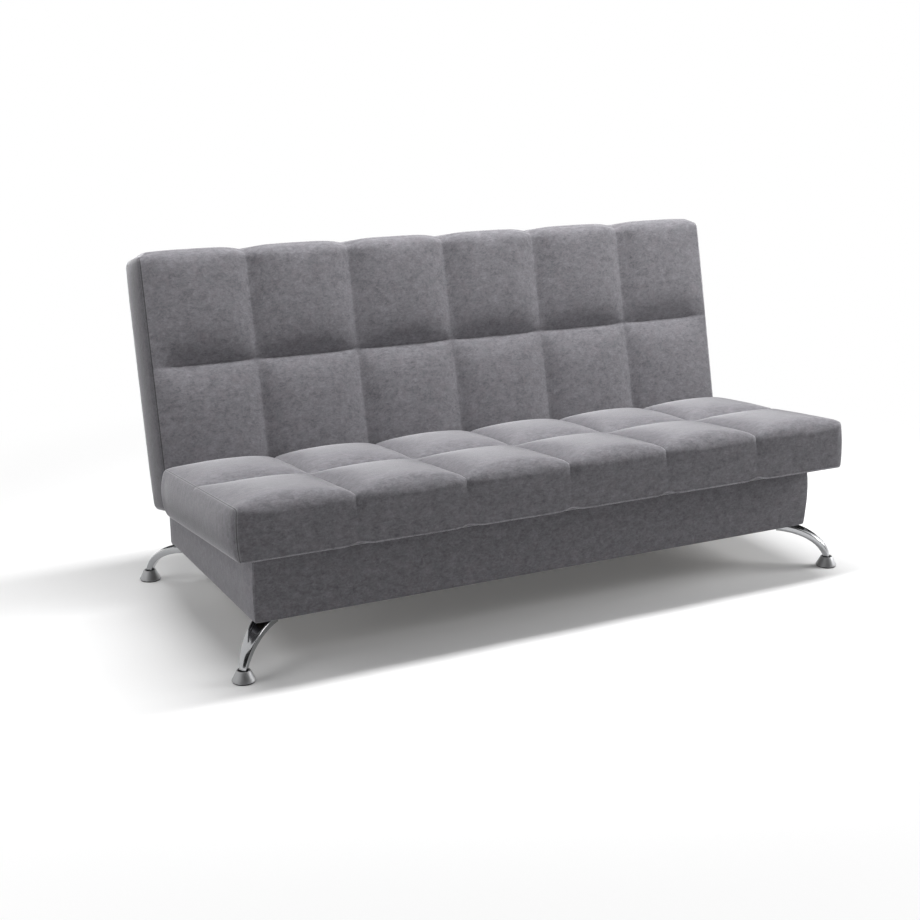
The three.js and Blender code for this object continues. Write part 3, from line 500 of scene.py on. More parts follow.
def inflate(piece, pinned, pad, reach):
    # pressure swells the cover between its pinned seams; then the movement is capped
    before = pointsOf(piece)
    group = piece.vertex_groups.new(name="seams")
    group.add([int(n) for n in np.nonzero(pinned)[0]], 1.0, "REPLACE")
    makeActive(piece)
    swell = piece.modifiers.new("swell", "CLOTH")
    settings = swell.settings
    settings.quality = cloth["quality"]
    settings.mass = cloth["mass"]
    settings.tension_stiffness = cloth["tension"]
    settings.compression_stiffness = cloth["compression"]
    settings.shear_stiffness = cloth["shear"]
    settings.bending_stiffness = cloth["bending"]
    settings.vertex_group_mass = "seams"
    settings.pin_stiffness = 1.0
    settings.use_pressure = True
    settings.uniform_pressure_force = pad["pressure"]
    settings.shrink_min = -cloth["slack"]
    settings.effector_weights.gravity = 0
    swell.point_cache.frame_start = 1
    swell.point_cache.frame_end = cloth["frames"]
    for number in range(1, cloth["frames"] + 1):
        bpy.context.scene.frame_set(number)
    shaped = piece.evaluated_get(bpy.context.evaluated_depsgraph_get())
    flat = np.empty(len(shaped.data.vertices) * 3)
    shaped.data.vertices.foreach_get("co", flat)
    after = flat.reshape(-1, 3)
    piece.modifiers.remove(swell)
    bpy.context.scene.frame_set(1)
    move = after - before
    length = np.linalg.norm(move, axis=1, keepdims=True)
    reach = np.broadcast_to(reach, len(move))[:, None]
    capped = reach * np.tanh(length / reach)
    move *= capped / np.maximum(length, 1e-9)
    ends = np.empty(len(piece.data.edges) * 2, dtype=int)
    piece.data.edges.foreach_get("vertices", ends)
    a, b = ends.reshape(-1, 2).T
    count = np.bincount(np.concatenate([a, b]), minlength=len(move))[:, None]
    for turn in range(cloth["smoothing"]):  # evens out small puckers
        around = np.zeros_like(move)
        np.add.at(around, a, move[b])
        np.add.at(around, b, move[a])
        move = np.where(pinned[:, None], move, 0.5 * move + 0.5 * around / count)
    setPoints(piece, before + move)
    print(piece.name, "swelled by up to", round(float(length.max()) * 1000, 1), "mm before the cap")


def measureSeams(piece, half):
    # every point near an end keeps its distance to the sewn edge, for the fabric's groove
    sewn = piece.data.attributes["sewn"]
    flags = np.empty(len(piece.data.vertices))
    sewn.data.foreach_get("value", flags)
    points = pointsOf(piece)
    pieces = 8  # of each sewn edge
    tree = KDTree(len(piece.data.edges) * pieces)
    for edge in piece.data.edges:
        a, b = edge.vertices
        if flags[a] > 0.9 and flags[b] > 0.9:
            for step in range(pieces):
                tree.insert(Vector(points[a] + (points[b] - points[a]) * step / pieces), 0)
    tree.balance()
    way = np.full(len(points), tufting["seamReach"])
    for n in np.nonzero(np.abs(points[:, 0]) > half - tufting["seamReach"])[0]:
        way[n] = tree.find(points[n])[2]
    piece.data.attributes.remove(sewn)
    piece.data.attributes.new("seamWay", "FLOAT", "POINT").data.foreach_set("value", way)


def makeCushion(name, pad, isSeat):
    piece, i, j, k, share = cushionBlank(name, pad)
    across, rows, high = i.max(), j.max(), k.max()
    base = pointsOf(piece)
    normals = normalsOf(piece)
    half, near, far, thick = pad["half"], pad["front"], pad["rear"], pad["thick"]
    start = tufting["start"]
    top = k == high
    nearFace, farFace = (j == 0) & ~top, (j == rows) & ~top
    endFace = (i == 0) | (i == across)
    bottom = k == 0
    # the way over the cushion from the middle seam, in metres, and on down its open ends
    down = thick * (1 - crowded(k / high))
    onNear = (top & (j <= pad["cellsFront"])) | nearFace
    nearWay = np.where(top, pad["split"] - base[:, 1], pad["split"] - near + down)
    farWay = np.where(top, base[:, 1] - pad["split"], far - pad["split"] + down)
    nearLength = pad["split"] - near + pad["overFront"]
    farLength = far - pad["split"] + pad["overRear"]
    wayShare = np.clip(np.where(onNear, nearWay / nearLength, farWay / farLength), 0, 1)
    column, row = domed(share, *pad["columnShape"]), domed(wayShare, *pad["rowShape"])
    openFace, hidden = (nearFace, farFace) if isSeat else (farFace, nearFace)
    overEdge = np.clip(down / tufting["overEdge"], 0, 1)
    crown = pad["crown"] * (1 - overEdge) + pad["frontCrown"] * overEdge
    skin = (top | openFace) & ~bottom
    puff = np.where(skin, crown * start * column * row, 0.0)
    # channels are drawn in along the seams and run out at the end panels
    endRun = np.clip((half - np.abs(base[:, 0])) / tufting["endRun"], 0, 1)
    endRun = endRun * endRun * (3 - 2 * endRun)
    endRun = tufting["endChannel"] + (1 - tufting["endChannel"]) * endRun
    fadeDown = np.clip(1 - down / pad["channelDown"], tufting["leastChannel"], 1)
    valley = pad["rowDepth"] * (1 - row) + pad["columnDepth"] * (1 - column) * row
    offset = puff - np.where(skin & ~endFace, valley * endRun * fadeDown, 0.0)
    atSplit = j == pad["cellsFront"]
    offset -= np.where(endFace & top, pad["endSeam"] + pad["endValley"] * atSplit, 0.0)
    points = base + normals * offset[:, None]
    height = 1 - crowded(k / high)
    endShare = np.clip((base[:, 1] - near) / (far - near), 0, 1)
    along = domed(endShare, *tufting["endShape"])  # the seat's ends stay full up to their rear edges
    along = np.where(endShare > 0.5, np.maximum(along, pad["rearBulge"]), along)
    swell = pad["sideBulge"] * domed(height, *tufting["endHeight"]) * along
    points[:, 0] += np.sign(base[:, 0]) * np.where(endFace, pad["endOut"] + swell, 0.0)
    if pad["hemPull"]:
        spacing = 2 * half / pad["columns"]
        toSeam = np.abs(base[:, 0] / spacing - np.rint(base[:, 0] / spacing)) * spacing
        inner = np.abs(base[:, 0]) < half - tufting["hemEnd"]
        pull = pad["hemPull"] * np.exp(-(toSeam / pad["hemReach"]) ** 2) * inner
        lowShare = np.clip((height - tufting["hemFrom"]) / (1 - tufting["hemFrom"]), 0, 1)
        points[:, 2] += np.where(nearFace, pull * lowShare, 0)
    setPoints(piece, points)
    isSeam = (i % pad["cellsAcross"] == 0) & skin
    isRow = atSplit & top
    ends = endFace & (top | (j == 0) | (j == rows))
    pinned = isSeam | isRow | bottom | endFace | hidden
    pinned |= (farFace | nearFace) & (down > pad["freeDown"])
    calm = pad["calm"] * np.clip(1 - (far - base[:, 1]) / tufting["farRun"], 0, 1)
    inflate(piece, pinned, pad, pad["reach"] * (1 - calm))
    # the sewn lines stay sharp when the mesh is divided
    makeActive(piece)
    seamPoint = isSeam & ~((j == 0) & ~top & (k < 2))
    sharp = piece.data.attributes.new("crease_edge", "FLOAT", "EDGE")
    values = np.zeros(len(piece.data.edges))
    for n, edge in enumerate(piece.data.edges):
        a, b = edge.vertices
        if seamPoint[a] and seamPoint[b] and i[a] == i[b] and 0 < i[a] < across:
            values[n] = pad["columnCrease"] * (1.0 if top[a] and top[b] else tufting["edgeCrease"])
        elif isRow[a] and isRow[b]:
            values[n] = tufting["rowCrease"]
        elif ends[a] and ends[b] and i[a] == i[b]:
            values[n] = tufting["endCrease"]
        elif bottom[a] and bottom[b] and (i[a] == i[b] and endFace[a] or j[a] == j[b] and j[a] in (0, rows)):
            values[n] = tufting["lowCrease"]
    sharp.data.foreach_set("value", values)
    sewn = piece.data.attributes.new("sewn", "FLOAT", "POINT")
    sewn.data.foreach_set("value", ends.astype(float))
    divide = piece.modifiers.new("divide", "SUBSURF")
    divide.levels = divide.render_levels = 1
    applyAll(piece)
    measureSeams(piece, half)
    smoothByAngle(piece, tufting["smoothAngle"])
    return piece


def spacedLines(value, pitch):  # distance to the nearest of evenly spaced lines
    return abs((value / pitch + 0.5).fraction() - 0.5) * pitch


def padCreases(pad, turn):  # distance to a pad's nearest channel
    pitch = 2 * pad["half"] / pad["columns"]

    def distance(finish, where):
        values = {"Vector": where, "Location": place["crease"], "Rotation": (turn, 0.0, 0.0)}
        inside = finish.node("ShaderNodeMapping", {"vector_type": "TEXTURE"}, values)["Vector"]
        parts = finish.node("ShaderNodeSeparateXYZ", None, {"Vector": inside})
        x, y, z = parts["X"], parts["Y"], parts["Z"]
        column = spacedLines(x, pitch) + (abs(x) - (pad["half"] - tufting["foldEnd"])).atLeast(0.0)
        row = abs(y - pad["split"])
        under = (-tufting["foldDown"] - z).atLeast(0.0)  # none on the sides and the underside
        return column.atMost(row) + under
    return distance


seatTurn = -math.radians(place["seatSlope"])
backTurn = math.radians(90 - place["backLean"])
seatFabric = velourFinish("seatVelour", True, padCreases(seatPad, seatTurn))
# painted shade: the back's end panels are darkened to 0.68
backFabric = velourFinish("backVelour", True, padCreases(backPad, backTurn), ends=(0.9465, 0.68), lip=0.07)
# painted light: the box's sides are made 1.3 times lighter
boxFabric = velourFinish("boxVelour", ends=(0.890, 1.30))
plainFabric = velourFinish("plainVelour")
# painted highlight: the hem's fabric is made 1.7 times lighter
hemHighlightFabric = velourFinish("hemHighlightVelour", lift=1.7)

seatCushion = makeCushion("seatCushion", seatPad, True)
seatCushion.data.transform(seatToRoom())
finishPiece(seatCushion, seatFabric, "seat", "upholstery_fabric", "seat_cushion")
print("seat cushion:", len(seatCushion.data.polygons), "faces")

backCushion = makeCushion("backCushion", backPad, False)
gearSlot = {"x": (0.8257, 0.8557), "along": (-0.151, -0.0312), "depth": (-0.170, -0.020)}
for side in (-1, 1):  # room for the folding gear
    xs = sorted(side * x for x in gearSlot["x"])
    low, high = zip(xs, gearSlot["along"], gearSlot["depth"])
    cutAway(backCushion, addCube("slotTool", low, high))
backCushion.data.transform(backToRoom())
finishPiece(backCushion, backFabric, "back", "upholstery_fabric", "back_cushion")
print("back cushion:", len(backCushion.data.polygons), "faces")


# the seat's bottom hem, a narrow roll along the cover's lower edge, in a lightened copy of the fabric as a
# painted highlight
hem = {"radius": 0.0022, "shortOf": 0.03, "endSteps": 12, "cornerSteps": 6, "steps": 240}


def hemAlong(name, pad, matrix, body):
    clearSelection()
    spacing = 2 * pad["half"] / pad["columns"]
    radius = pad["cornerRound"]
    half, near, far, low = pad["half"], pad["front"], pad["rear"], pad["hemLift"] - pad["thick"]
    line = []  # along the left end, round the corner, across and back
    start, length = far - hem["shortOf"], far - hem["shortOf"] - near - radius
    for step in range(hem["endSteps"]):
        line.append((-half, start - length * step / hem["endSteps"], low))
    for step in range(hem["cornerSteps"] + 1):
        angle = math.pi + math.pi / 2 * step / hem["cornerSteps"]
        line.append((-half + radius + radius * math.cos(angle), near + radius + radius * math.sin(angle), low))
    rightEnd = [(-x, y, z) for x, y, z in reversed(line)]
    for step in range(1, hem["steps"]):
        x = -half + radius + (2 * half - 2 * radius) * step / hem["steps"]
        toSeam = abs(x / spacing - round(x / spacing)) * spacing
        pull = pad["hemPull"] * math.exp(-(toSeam / pad["hemReach"]) ** 2)
        line.append((x, near, low + (pull if abs(x) < half - tufting["hemEnd"] else 0)))
    line += rightEnd
    curve = bpy.data.curves.new(name, "CURVE")
    curve.dimensions = "3D"
    curve.bevel_depth = hem["radius"]
    curve.bevel_resolution = 2
    curve.use_fill_caps = True
    spline = curve.splines.new("POLY")
    spline.points.add(len(line) - 1)
    for point, where in zip(spline.points, line):
        point.co = (*where, 1)
    roll = bpy.data.objects.new(name, curve)
    bpy.context.scene.collection.objects.link(roll)
    makeActive(roll)
    bpy.ops.object.convert(target="MESH")
    roll = bpy.context.object
    bpy.ops.object.shade_smooth()
    roll.data.transform(matrix)
    finishPiece(roll, hemHighlightFabric, body, "upholstery_fabric")


hemAlong("seatHem", seatPad, seatToRoom(), "seat")

# storage box cover
boxCover = {
    "wall": 0.0175, "cells": (60, 24, 6),
    "cornerRound": 0.007, "rimRound": 0.005, "bottomRound": 0.009, "heelRound": 0.010,
    "sidePuff": 0.0065, "frontPuff": 0.003,  # how far the padding stands out
    "fullness": (1.3, 0.7),  # its shape from the bottom up
    "wave": 0.00045,  # its unevenness, and how that runs
    "frontWave": (5.1, 0.6, 14.0, 2.2), "sideWave": (0.6, 9.0, 11.0),
    "outerReach": 0.009,  # the padding moves an outer edge by less than this
}


def makeBoxCover():
    low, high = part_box("box_front_panel")
    half, front, bottom, top = high.x, low.y, low.z, high.z
    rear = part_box("box_rear_panel")[1].y
    slope = math.tan(math.radians(place["seatSlope"]))

    def rimAt(y):  # the rim slopes with the seat
        return top - slope * (y - front)

    def isOuter(v):
        return min(abs(abs(v.x) - half), abs(v.y - front), abs(v.y - rear)) < boxCover["outerReach"]

    def isRim(v):
        return isOuter(v) and abs(v.z - rimAt(v.y)) < 1e-4

    def isBottom(v):
        return isOuter(v) and abs(v.z - bottom) < 1e-5
    piece = addCube("boxCover", (-half, front, bottom), (half, rear, top))
    selectFaces(piece, lambda centre, normal: abs(normal.z) > 0.9)
    bpy.ops.mesh.delete(type="FACE")
    bpy.ops.object.mode_set(mode="OBJECT")
    for axis, cells in enumerate(boxCover["cells"]):
        splitAlong(piece, axis, cells - 1)
    x, y, z = pointsOf(piece).T.copy()
    height = (z - bottom) / (top - bottom)
    z = bottom + height * (rimAt(y) - bottom)
    for sx in (-1, 1):  # upright corners
        x, y = roundPair(x, sx * half, sx, y, front, -1, boxCover["cornerRound"])
        x, y = roundPair(x, sx * half, sx, y, rear, 1, boxCover["cornerRound"])
    y, z = roundPair(y, rear, 1, z, bottom, -1, boxCover["heelRound"])
    points = np.stack([x, y, z], 1)
    setPoints(piece, points)
    normals = normalsOf(piece)
    across, shift, up, skew = boxCover["frontWave"]
    share, deep, rise = boxCover["sideWave"]
    wave = np.sin(x * across + shift) * np.sin(z * up + x * skew) + share * np.sin(y * deep + z * rise)
    power, steep = boxCover["fullness"]
    middle = np.sin(np.pi * np.clip(height, 0, 1) ** power) ** steep
    puff = np.where(np.abs(normals[:, 0]) > 0.7, boxCover["sidePuff"], boxCover["frontPuff"])
    swell = (puff + boxCover["wave"] * wave) * middle * (normals[:, 1] < 0.5)
    setPoints(piece, points + normals * swell[:, None])
    makeActive(piece)
    wall = piece.modifiers.new("wall", "SOLIDIFY")
    wall.thickness = boxCover["wall"]
    wall.offset = -1
    wall.use_even_offset = True
    bpy.ops.object.modifier_apply(modifier=wall.name)
    roundEdges(piece, boxCover["rimRound"], 3, lambda a, b: isRim(a) and isRim(b))
    roundEdges(piece, boxCover["bottomRound"], 4, lambda a, b: isBottom(a) and isBottom(b))
    smoothByAngle(piece, 40)
    return piece


boxUpholstery = makeBoxCover()
finishPiece(boxUpholstery, boxFabric, "box", "upholstery_fabric",
            "box_front_panel", "box_side_panel_left", "box_side_panel_right", "box_rear_panel")
print("box cover:", len(boxUpholstery.data.polygons), "faces")

# panels behind and below
panel = {"edgeRound": 0.002, "fullness": 0.35, "cells": (24, 10)}
underPanel = {"low": (-0.880, -0.594, 0.1445), "high": (0.880, -0.044, 0.1465), "puff": 0.0004,
              "shift": (0, -0.646, 0)}
rearPanel = {"low": (-0.884, -0.566, 0.146), "high": (0.884, -0.016, 0.1515), "puff": 0.0025,
             "shift": (0, 0, 0)}


def makePanel(name, values, matrix):
    # a thin stuffed panel, shaped with its outer face up and then turned over
    low, high = values["low"], values["high"]
    piece = addCube(name, low, high)
    for axis, cells in enumerate(panel["cells"]):
        splitAlong(piece, axis, cells - 1)
    points = pointsOf(piece)
    rise = values["puff"]
    for axis in (0, 1):
        share = (points[:, axis] - low[axis]) / (high[axis] - low[axis])
        rise = rise * np.clip(np.sin(np.pi * share), 0, 1) ** panel["fullness"]
    points[:, 2] += np.where(points[:, 2] > (low[2] + high[2]) / 2, rise, 0)
    setPoints(piece, points)
    roundEdges(piece, panel["edgeRound"], 3,
               lambda a, b: abs(a.z - high[2]) < 1e-6 and abs(b.z - high[2]) < 1e-6)
    piece.data.transform(matrix @ Matrix.Translation(values["shift"]) @ Matrix.Rotation(math.pi, 4, "X"))
    smoothByAngle(piece, 40)
    return piece


liningCloth = {
    "dark": (0.020, 0.020, 0.022), "light": (0.036, 0.036, 0.039),
    "fibres": 420.0, "clouds": 30.0,  # per metre
    "fibreShare": 0.7, "fibreDepth": 0.0004, "roughness": 0.8, "roughFibres": 0.15,
}


def liningFinish():
    finish = Finish("blackLining")
    where = finish.coordinates()
    fibres = finish.noise(where, liningCloth["fibres"], 3.0, 0.65)
    clouds = finish.noise(where, liningCloth["clouds"], 2.0, 0.5)
    share = fibres * liningCloth["fibreShare"] + clouds * (1 - liningCloth["fibreShare"])
    colour = finish.mixColour(share.clamped(), rgba(liningCloth["dark"]), rgba(liningCloth["light"]))
    return finish.surface({"Base Color": colour, "Normal": finish.bump(fibres, liningCloth["fibreDepth"], 0.5),
                           "Roughness": liningCloth["roughness"] + fibres * liningCloth["roughFibres"]})


lining = liningFinish()
underLining = makePanel("underLining", underPanel, seatToRoom())
finishPiece(underLining, lining, "seat", "lining_fabric", "seat_under_cover")
backPanel = makePanel("backPanel", rearPanel, backToRoom())
finishPiece(backPanel, plainFabric, "back", "upholstery_fabric", "back_rear_cover")
print("panels done")

# legs, each with a cone and a pad at its foot
leg = {
    "footOut": 0.052, "wingReach": 0.082, "span": 0.162, "topAngle": 8.0,
    "solidThick": 0.012,  # the CAD leg's thickness, which places the arch
    "ankle": 0.0185, "wing": 0.057, "flare": 0.65, "bevel": 0.0026, "bevelAngle": 50, "crown": 0.0034,
    "deep": 0.0180, "deepFoot": 0.0145,  # thickness along the arch and at the foot
    "thinFrom": 1.2, "thinRun": 0.37,  # between them, in radians along the arch
    "rim": 0.004, "recess": 0.004, "step": 0.005, "floor": 0.007, "tip": 0.0003,
    "apex": 50.0, "runIn": 3.0, "toolTop": 0.012,  # the recess ends at the apex, in degrees
    "boxBottom": 0.124, "touch": 0.0003, "cells": (48, 10), "recessCells": 28,
}
foot = {
    "padHigh": 0.003, "padRadius": 0.029, "padRound": 0.0009,
    "coneHigh": 0.028, "coneRadius": 0.031, "coneTop": 0.0175, "coneRound": 0.0011, "lip": 0.002,
    "socket": 0.014, "socketDeep": 0.007, "sides": 72,
}
footReach = leg["footOut"] * math.sqrt(2)
legTop = leg["boxBottom"] - leg["touch"]
coneLow = foot["padHigh"] + leg["touch"]
coneHigh = coneLow + foot["coneHigh"]
legFoot = coneHigh - foot["socketDeep"] + leg["touch"]
legRise = (legTop - legFoot) / math.cos(math.radians(leg["topAngle"]))
legMiddle = footReach + leg["solidThick"] / 2 - leg["span"]
legStart = math.asin((-leg["wingReach"] - legMiddle) / leg["span"])


def legWidth(angle):
    return leg["ankle"] + (leg["wing"] - leg["ankle"]) * np.clip(1 - np.sin(angle), 0, 1) ** leg["flare"]


def legUnderside(angle):
    share = np.clip((angle - leg["thinFrom"]) / leg["thinRun"], 0, 1)
    return (leg["deep"] - leg["deepFoot"]) * share - leg["deep"]


def alongArch(piece, start, end, widthOf, top, lowOf):
    # bends a unit block (x 0..1 along, y -1..1 across, z 0..1 low to top) onto the leg's arch
    points = pointsOf(piece)
    angle = start + (end - start) * points[:, 0]
    outX = legMiddle + leg["span"] * np.sin(angle)
    outZ = legFoot + legRise * np.cos(angle)
    nx, nz = np.sin(angle) / leg["span"], np.cos(angle) / legRise
    size = np.hypot(nx, nz)
    depth = lowOf(angle) + (top - lowOf(angle)) * points[:, 2]
    side = widthOf(angle) * points[:, 1]
    setPoints(piece, np.stack([outX + nx / size * depth, side, outZ + nz / size * depth], 1))


def makeLeg():
    piece = addCube("leg", (0, -1, 0), (1, 1, 1))
    for axis, cells in enumerate(leg["cells"]):
        splitAlong(piece, axis, cells - 1)
    points = pointsOf(piece)  # the outer face is crowned across
    points[:, 2] += np.where(points[:, 2] > 0.5, leg["crown"] / leg["deep"] * (1 - points[:, 1] ** 2), 0)
    setPoints(piece, points)
    alongArch(piece, legStart, math.pi / 2, lambda angle: legWidth(angle) / 2, 0.0, legUnderside)
    makeActive(piece)
    soft = piece.modifiers.new("soft", "BEVEL")
    soft.width = leg["bevel"]
    soft.segments = 3
    soft.limit_method = "ANGLE"
    soft.angle_limit = math.radians(leg["bevelAngle"])
    bpy.ops.object.modifier_apply(modifier=soft.name)
    first, apex = math.radians(leg["topAngle"] + leg["runIn"]), math.radians(leg["apex"])
    mouth = math.asin(-legMiddle / leg["span"])
    mouthHalf = float(legWidth(mouth)) / 2 - leg["rim"]
    for step, depth in ((0.0, leg["recess"]), (leg["step"], leg["floor"])):
        tool = addCube("recess", (0, -1, 0), (1, 1, 1))
        splitAlong(tool, 0, leg["recessCells"] - 1)

        def vee(angle):
            half = np.minimum(legWidth(angle) / 2 - leg["rim"], mouthHalf * (apex - angle) / (apex - mouth))
            return np.maximum(half - step, leg["tip"])
        alongArch(tool, first, apex, vee, leg["toolTop"], lambda angle: -depth)
        cutAway(piece, tool)
    cutAway(piece, addCube("above", (-0.3, -0.2, legTop), (0.3, 0.2, legTop + 0.2)))
    smoothByAngle(piece, 32)
    return piece


def makeCone():
    piece = addCylinder("cone", foot["coneRadius"], coneLow, coneHigh, foot["sides"])
    selectFaces(piece, lambda centre, normal: normal.z > 0.9)
    ratio = foot["coneTop"] / foot["coneRadius"]
    bpy.ops.transform.resize(value=(ratio, ratio, 1))
    bpy.ops.object.mode_set(mode="OBJECT")
    selectFaces(piece, lambda centre, normal: normal.z > 0.9)
    bpy.ops.mesh.inset(thickness=foot["coneTop"] - foot["socket"])
    bpy.ops.mesh.extrude_region_move(TRANSFORM_OT_translate={"value": (0, 0, -foot["socketDeep"])})
    bpy.ops.object.mode_set(mode="OBJECT")
    # a short upright lip round the bottom
    selectFaces(piece, lambda centre, normal: normal.z < -0.9)
    bpy.ops.mesh.extrude_region_move(TRANSFORM_OT_translate={"value": (0, 0, 0)})
    bpy.ops.object.mode_set(mode="OBJECT")
    points = pointsOf(piece)
    wide = np.nonzero(np.hypot(points[:, 0], points[:, 1]) > foot["coneRadius"] - 1e-5)[0]
    points[wide[:foot["sides"]], 2] = coneLow + foot["lip"]
    setPoints(piece, points)
    roundEdges(piece, foot["coneRound"], 3, lambda a, b: abs(a.z - b.z) < 1e-6 and (
        math.hypot(a.x, a.y) > foot["coneRadius"] - 1e-4 or abs(a.z - coneHigh) < 1e-5))
    smoothByAngle(piece, 35)
    return piece


def makeFootPad():
    piece = addCylinder("footPad", foot["padRadius"], 0.0, foot["padHigh"], foot["sides"])
    roundEdges(piece, foot["padRound"], 2, lambda a, b: abs(a.z - b.z) < 1e-6 and a.z < 0.001)
    smoothByAngle(piece, 35)
    return piece


# rim: the tone of the painted highlight towards grazing edges
polished = {"dark": (0.36, 0.365, 0.375), "light": (0.43, 0.435, 0.445), "rim": (0.80, 0.81, 0.82),
            "edge": 3.0, "roughness": 0.17}
satin = {"dark": (0.34, 0.343, 0.35), "light": (0.42, 0.423, 0.43), "rim": (0.60, 0.61, 0.62),
         "edge": 4.0, "roughness": 0.50}
plating = {
    "clouds": 26.0, "haze": 240.0, "scuffs": 14.0,  # per metre
    "scuffGrain": (60.0, 60.0, 9.0), "facing": 0.35, "hazeDepth": 0.00004,
    "roughClouds": 0.12, "cloudsFrom": 0.45, "roughScuffs": 0.25, "scuffsFrom": 0.6,
}


def chromeFinish(name, tones):
    finish = Finish(name)
    where = finish.coordinates()
    cloud = finish.noise(where, plating["clouds"], 3.0, 0.55)
    haze = finish.noise(where, plating["haze"], 2.0, 0.6)
    scuff = finish.noise(finish.stretched(where, plating["scuffGrain"]), plating["scuffs"], 2.0, 0.6)
    facing = finish.node("ShaderNodeLayerWeight", None, {"Blend": plating["facing"]})["Facing"]
    colour = finish.mixColour(cloud, rgba(tones["dark"]), rgba(tones["light"]))
    # painted highlight: the colour lightens towards grazing edges
    colour = finish.mixColour(facing ** tones["edge"], colour, rgba(tones["rim"]))
    roughness = tones["roughness"] + (cloud - plating["cloudsFrom"]).atLeast(0.0) * plating["roughClouds"]
    roughness = roughness + (scuff - plating["scuffsFrom"]).atLeast(0.0) * plating["roughScuffs"]
    normal = finish.bump(haze, plating["hazeDepth"], 0.25)
    return finish.surface({"Base Color": colour, "Metallic": 1.0, "Roughness": roughness, "Normal": normal})


rubberValues = {"clean": (0.010, 0.010, 0.011), "dusty": (0.040, 0.039, 0.038), "dustFrom": 0.35,
                "grain": 700.0, "dust": 60.0, "grainDepth": 0.0002, "roughness": 0.7, "roughDust": 0.2}


def rubberFinish():
    finish = Finish("blackRubber")
    where = finish.coordinates()
    grain = finish.noise(where, rubberValues["grain"], 2.0, 0.6)
    dust = finish.noise(where, rubberValues["dust"], 3.0, 0.6)
    share = (dust - rubberValues["dustFrom"]).clamped()
    colour = finish.mixColour(share, rgba(rubberValues["clean"]), rgba(rubberValues["dusty"]))
    return finish.surface({"Base Color": colour, "Normal": finish.bump(grain, rubberValues["grainDepth"], 0.4),
                           "Roughness": rubberValues["roughness"] + dust * rubberValues["roughDust"]})


chrome = chromeFinish("polishedChrome", polished)
satinChrome = chromeFinish("satinChrome", satin)
rubber = rubberFinish()
legPattern = makeLeg()
conePattern = makeCone()
padPattern = makeFootPad()
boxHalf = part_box("box_front_panel")[1].x
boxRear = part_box("box_rear_panel")[1].y
corners = {
    "front_right": (boxHalf, place["frontFace"], -45),
    "rear_right": (boxHalf, boxRear, 45),
    "rear_left": (-boxHalf, boxRear, 135),
    "front_left": (-boxHalf, place["frontFace"], 225),
}
for corner, (x, y, turn) in corners.items():
    whole = Matrix.Translation((x, y, 0)) @ Matrix.Rotation(math.radians(turn), 4, "Z")
    atFoot = whole @ Matrix.Translation((footReach, 0, 0))
    for pattern, kind, material, slotName, matrix in (
            (legPattern, "leg", chrome, "chrome", whole),
            (conePattern, "foot_cone", satinChrome, "chrome", atFoot),
            (padPattern, "foot_pad", rubber, "rubber", atFoot)):
        shaped = copyOf(pattern, kind + "_shape_" + corner, matrix)
        finishPiece(shaped, material, "box", slotName, kind + "_" + corner)
for pattern in (legPattern, conePattern, padPattern):
    bpy.data.objects.remove(pattern)
print("legs done")

# metal, wood and board of the CAD nodes
paint = {"dark": (0.035, 0.037, 0.041), "light": (0.055, 0.058, 0.063), "worn": (0.16, 0.16, 0.17),
         "peel": 520.0, "clouds": 18.0, "wear": 75.0, "wornFrom": 0.62, "contrast": 9.0, "wornShare": 0.5,
         "peelDepth": 0.00012, "roughness": 0.42, "roughClouds": 0.18, "bare": 0.6}


def paintedFinish():
    finish = Finish("darkPaintedSteel")
    where = finish.coordinates()
    peel = finish.noise(where, paint["peel"], 2.0, 0.5)
    cloud = finish.noise(where, paint["clouds"], 3.0, 0.6)
    wear = finish.noise(where, paint["wear"], 4.0, 0.7)
    colour = finish.mixColour(cloud, rgba(paint["dark"]), rgba(paint["light"]))
    rub = ((wear - paint["wornFrom"]) * paint["contrast"]).clamped()
    colour = finish.mixColour(rub * paint["wornShare"], colour, rgba(paint["worn"]))
    return finish.surface({"Base Color": colour, "Normal": finish.bump(peel, paint["peelDepth"], 0.5),
                           "Roughness": paint["roughness"] + cloud * paint["roughClouds"],
                           "Metallic": rub * paint["bare"]})


galvanised = {"dark": (0.36, 0.38, 0.40), "light": (0.50, 0.52, 0.53), "spangles": 170.0,
              "streaks": (400.0, 30.0, 30.0), "streakDepth": 0.00005,
              "roughness": 0.26, "roughSpangles": 0.1, "roughStreaks": 0.12}


def zincFinish():
    finish = Finish("zincPlatedSteel")
    where = finish.coordinates()
    values = {"Vector": where, "Scale": galvanised["spangles"]}
    spangle = finish.node("ShaderNodeTexVoronoi", {"feature": "F1"}, values)["Color"]
    grey = finish.node("ShaderNodeSeparateColor", None, {"Color": spangle})["Red"]
    streak = finish.noise(finish.stretched(where, galvanised["streaks"]), 1.0, 2.0, 0.6)
    colour = finish.mixColour(grey, rgba(galvanised["dark"]), rgba(galvanised["light"]))
    roughness = galvanised["roughness"] + grey * galvanised["roughSpangles"]
    roughness = roughness + streak * galvanised["roughStreaks"]
    normal = finish.bump(streak, galvanised["streakDepth"], 0.4)
    return finish.surface({"Base Color": colour, "Metallic": 1.0, "Roughness": roughness, "Normal": normal})


woods = {
    "beechSlat": {"light": (0.62, 0.45, 0.27), "dark": (0.48, 0.31, 0.16), "grain": (1.0, 0.06, 0.06),
                  "rings": 14.0},
    "pressedBoard": {"light": (0.26, 0.225, 0.19), "dark": (0.19, 0.163, 0.137), "grain": (1.0, 1.0, 1.0),
                     "rings": 30.0},
}
woodGrain = {"fibres": 60.0, "pores": 240.0, "contrast": 1.4, "darker": 0.2, "fibreDark": 0.6,
             "fibreStrength": 0.8, "fibreShare": 0.6, "depth": 0.00025, "roughness": 0.5, "roughFibres": 0.2}


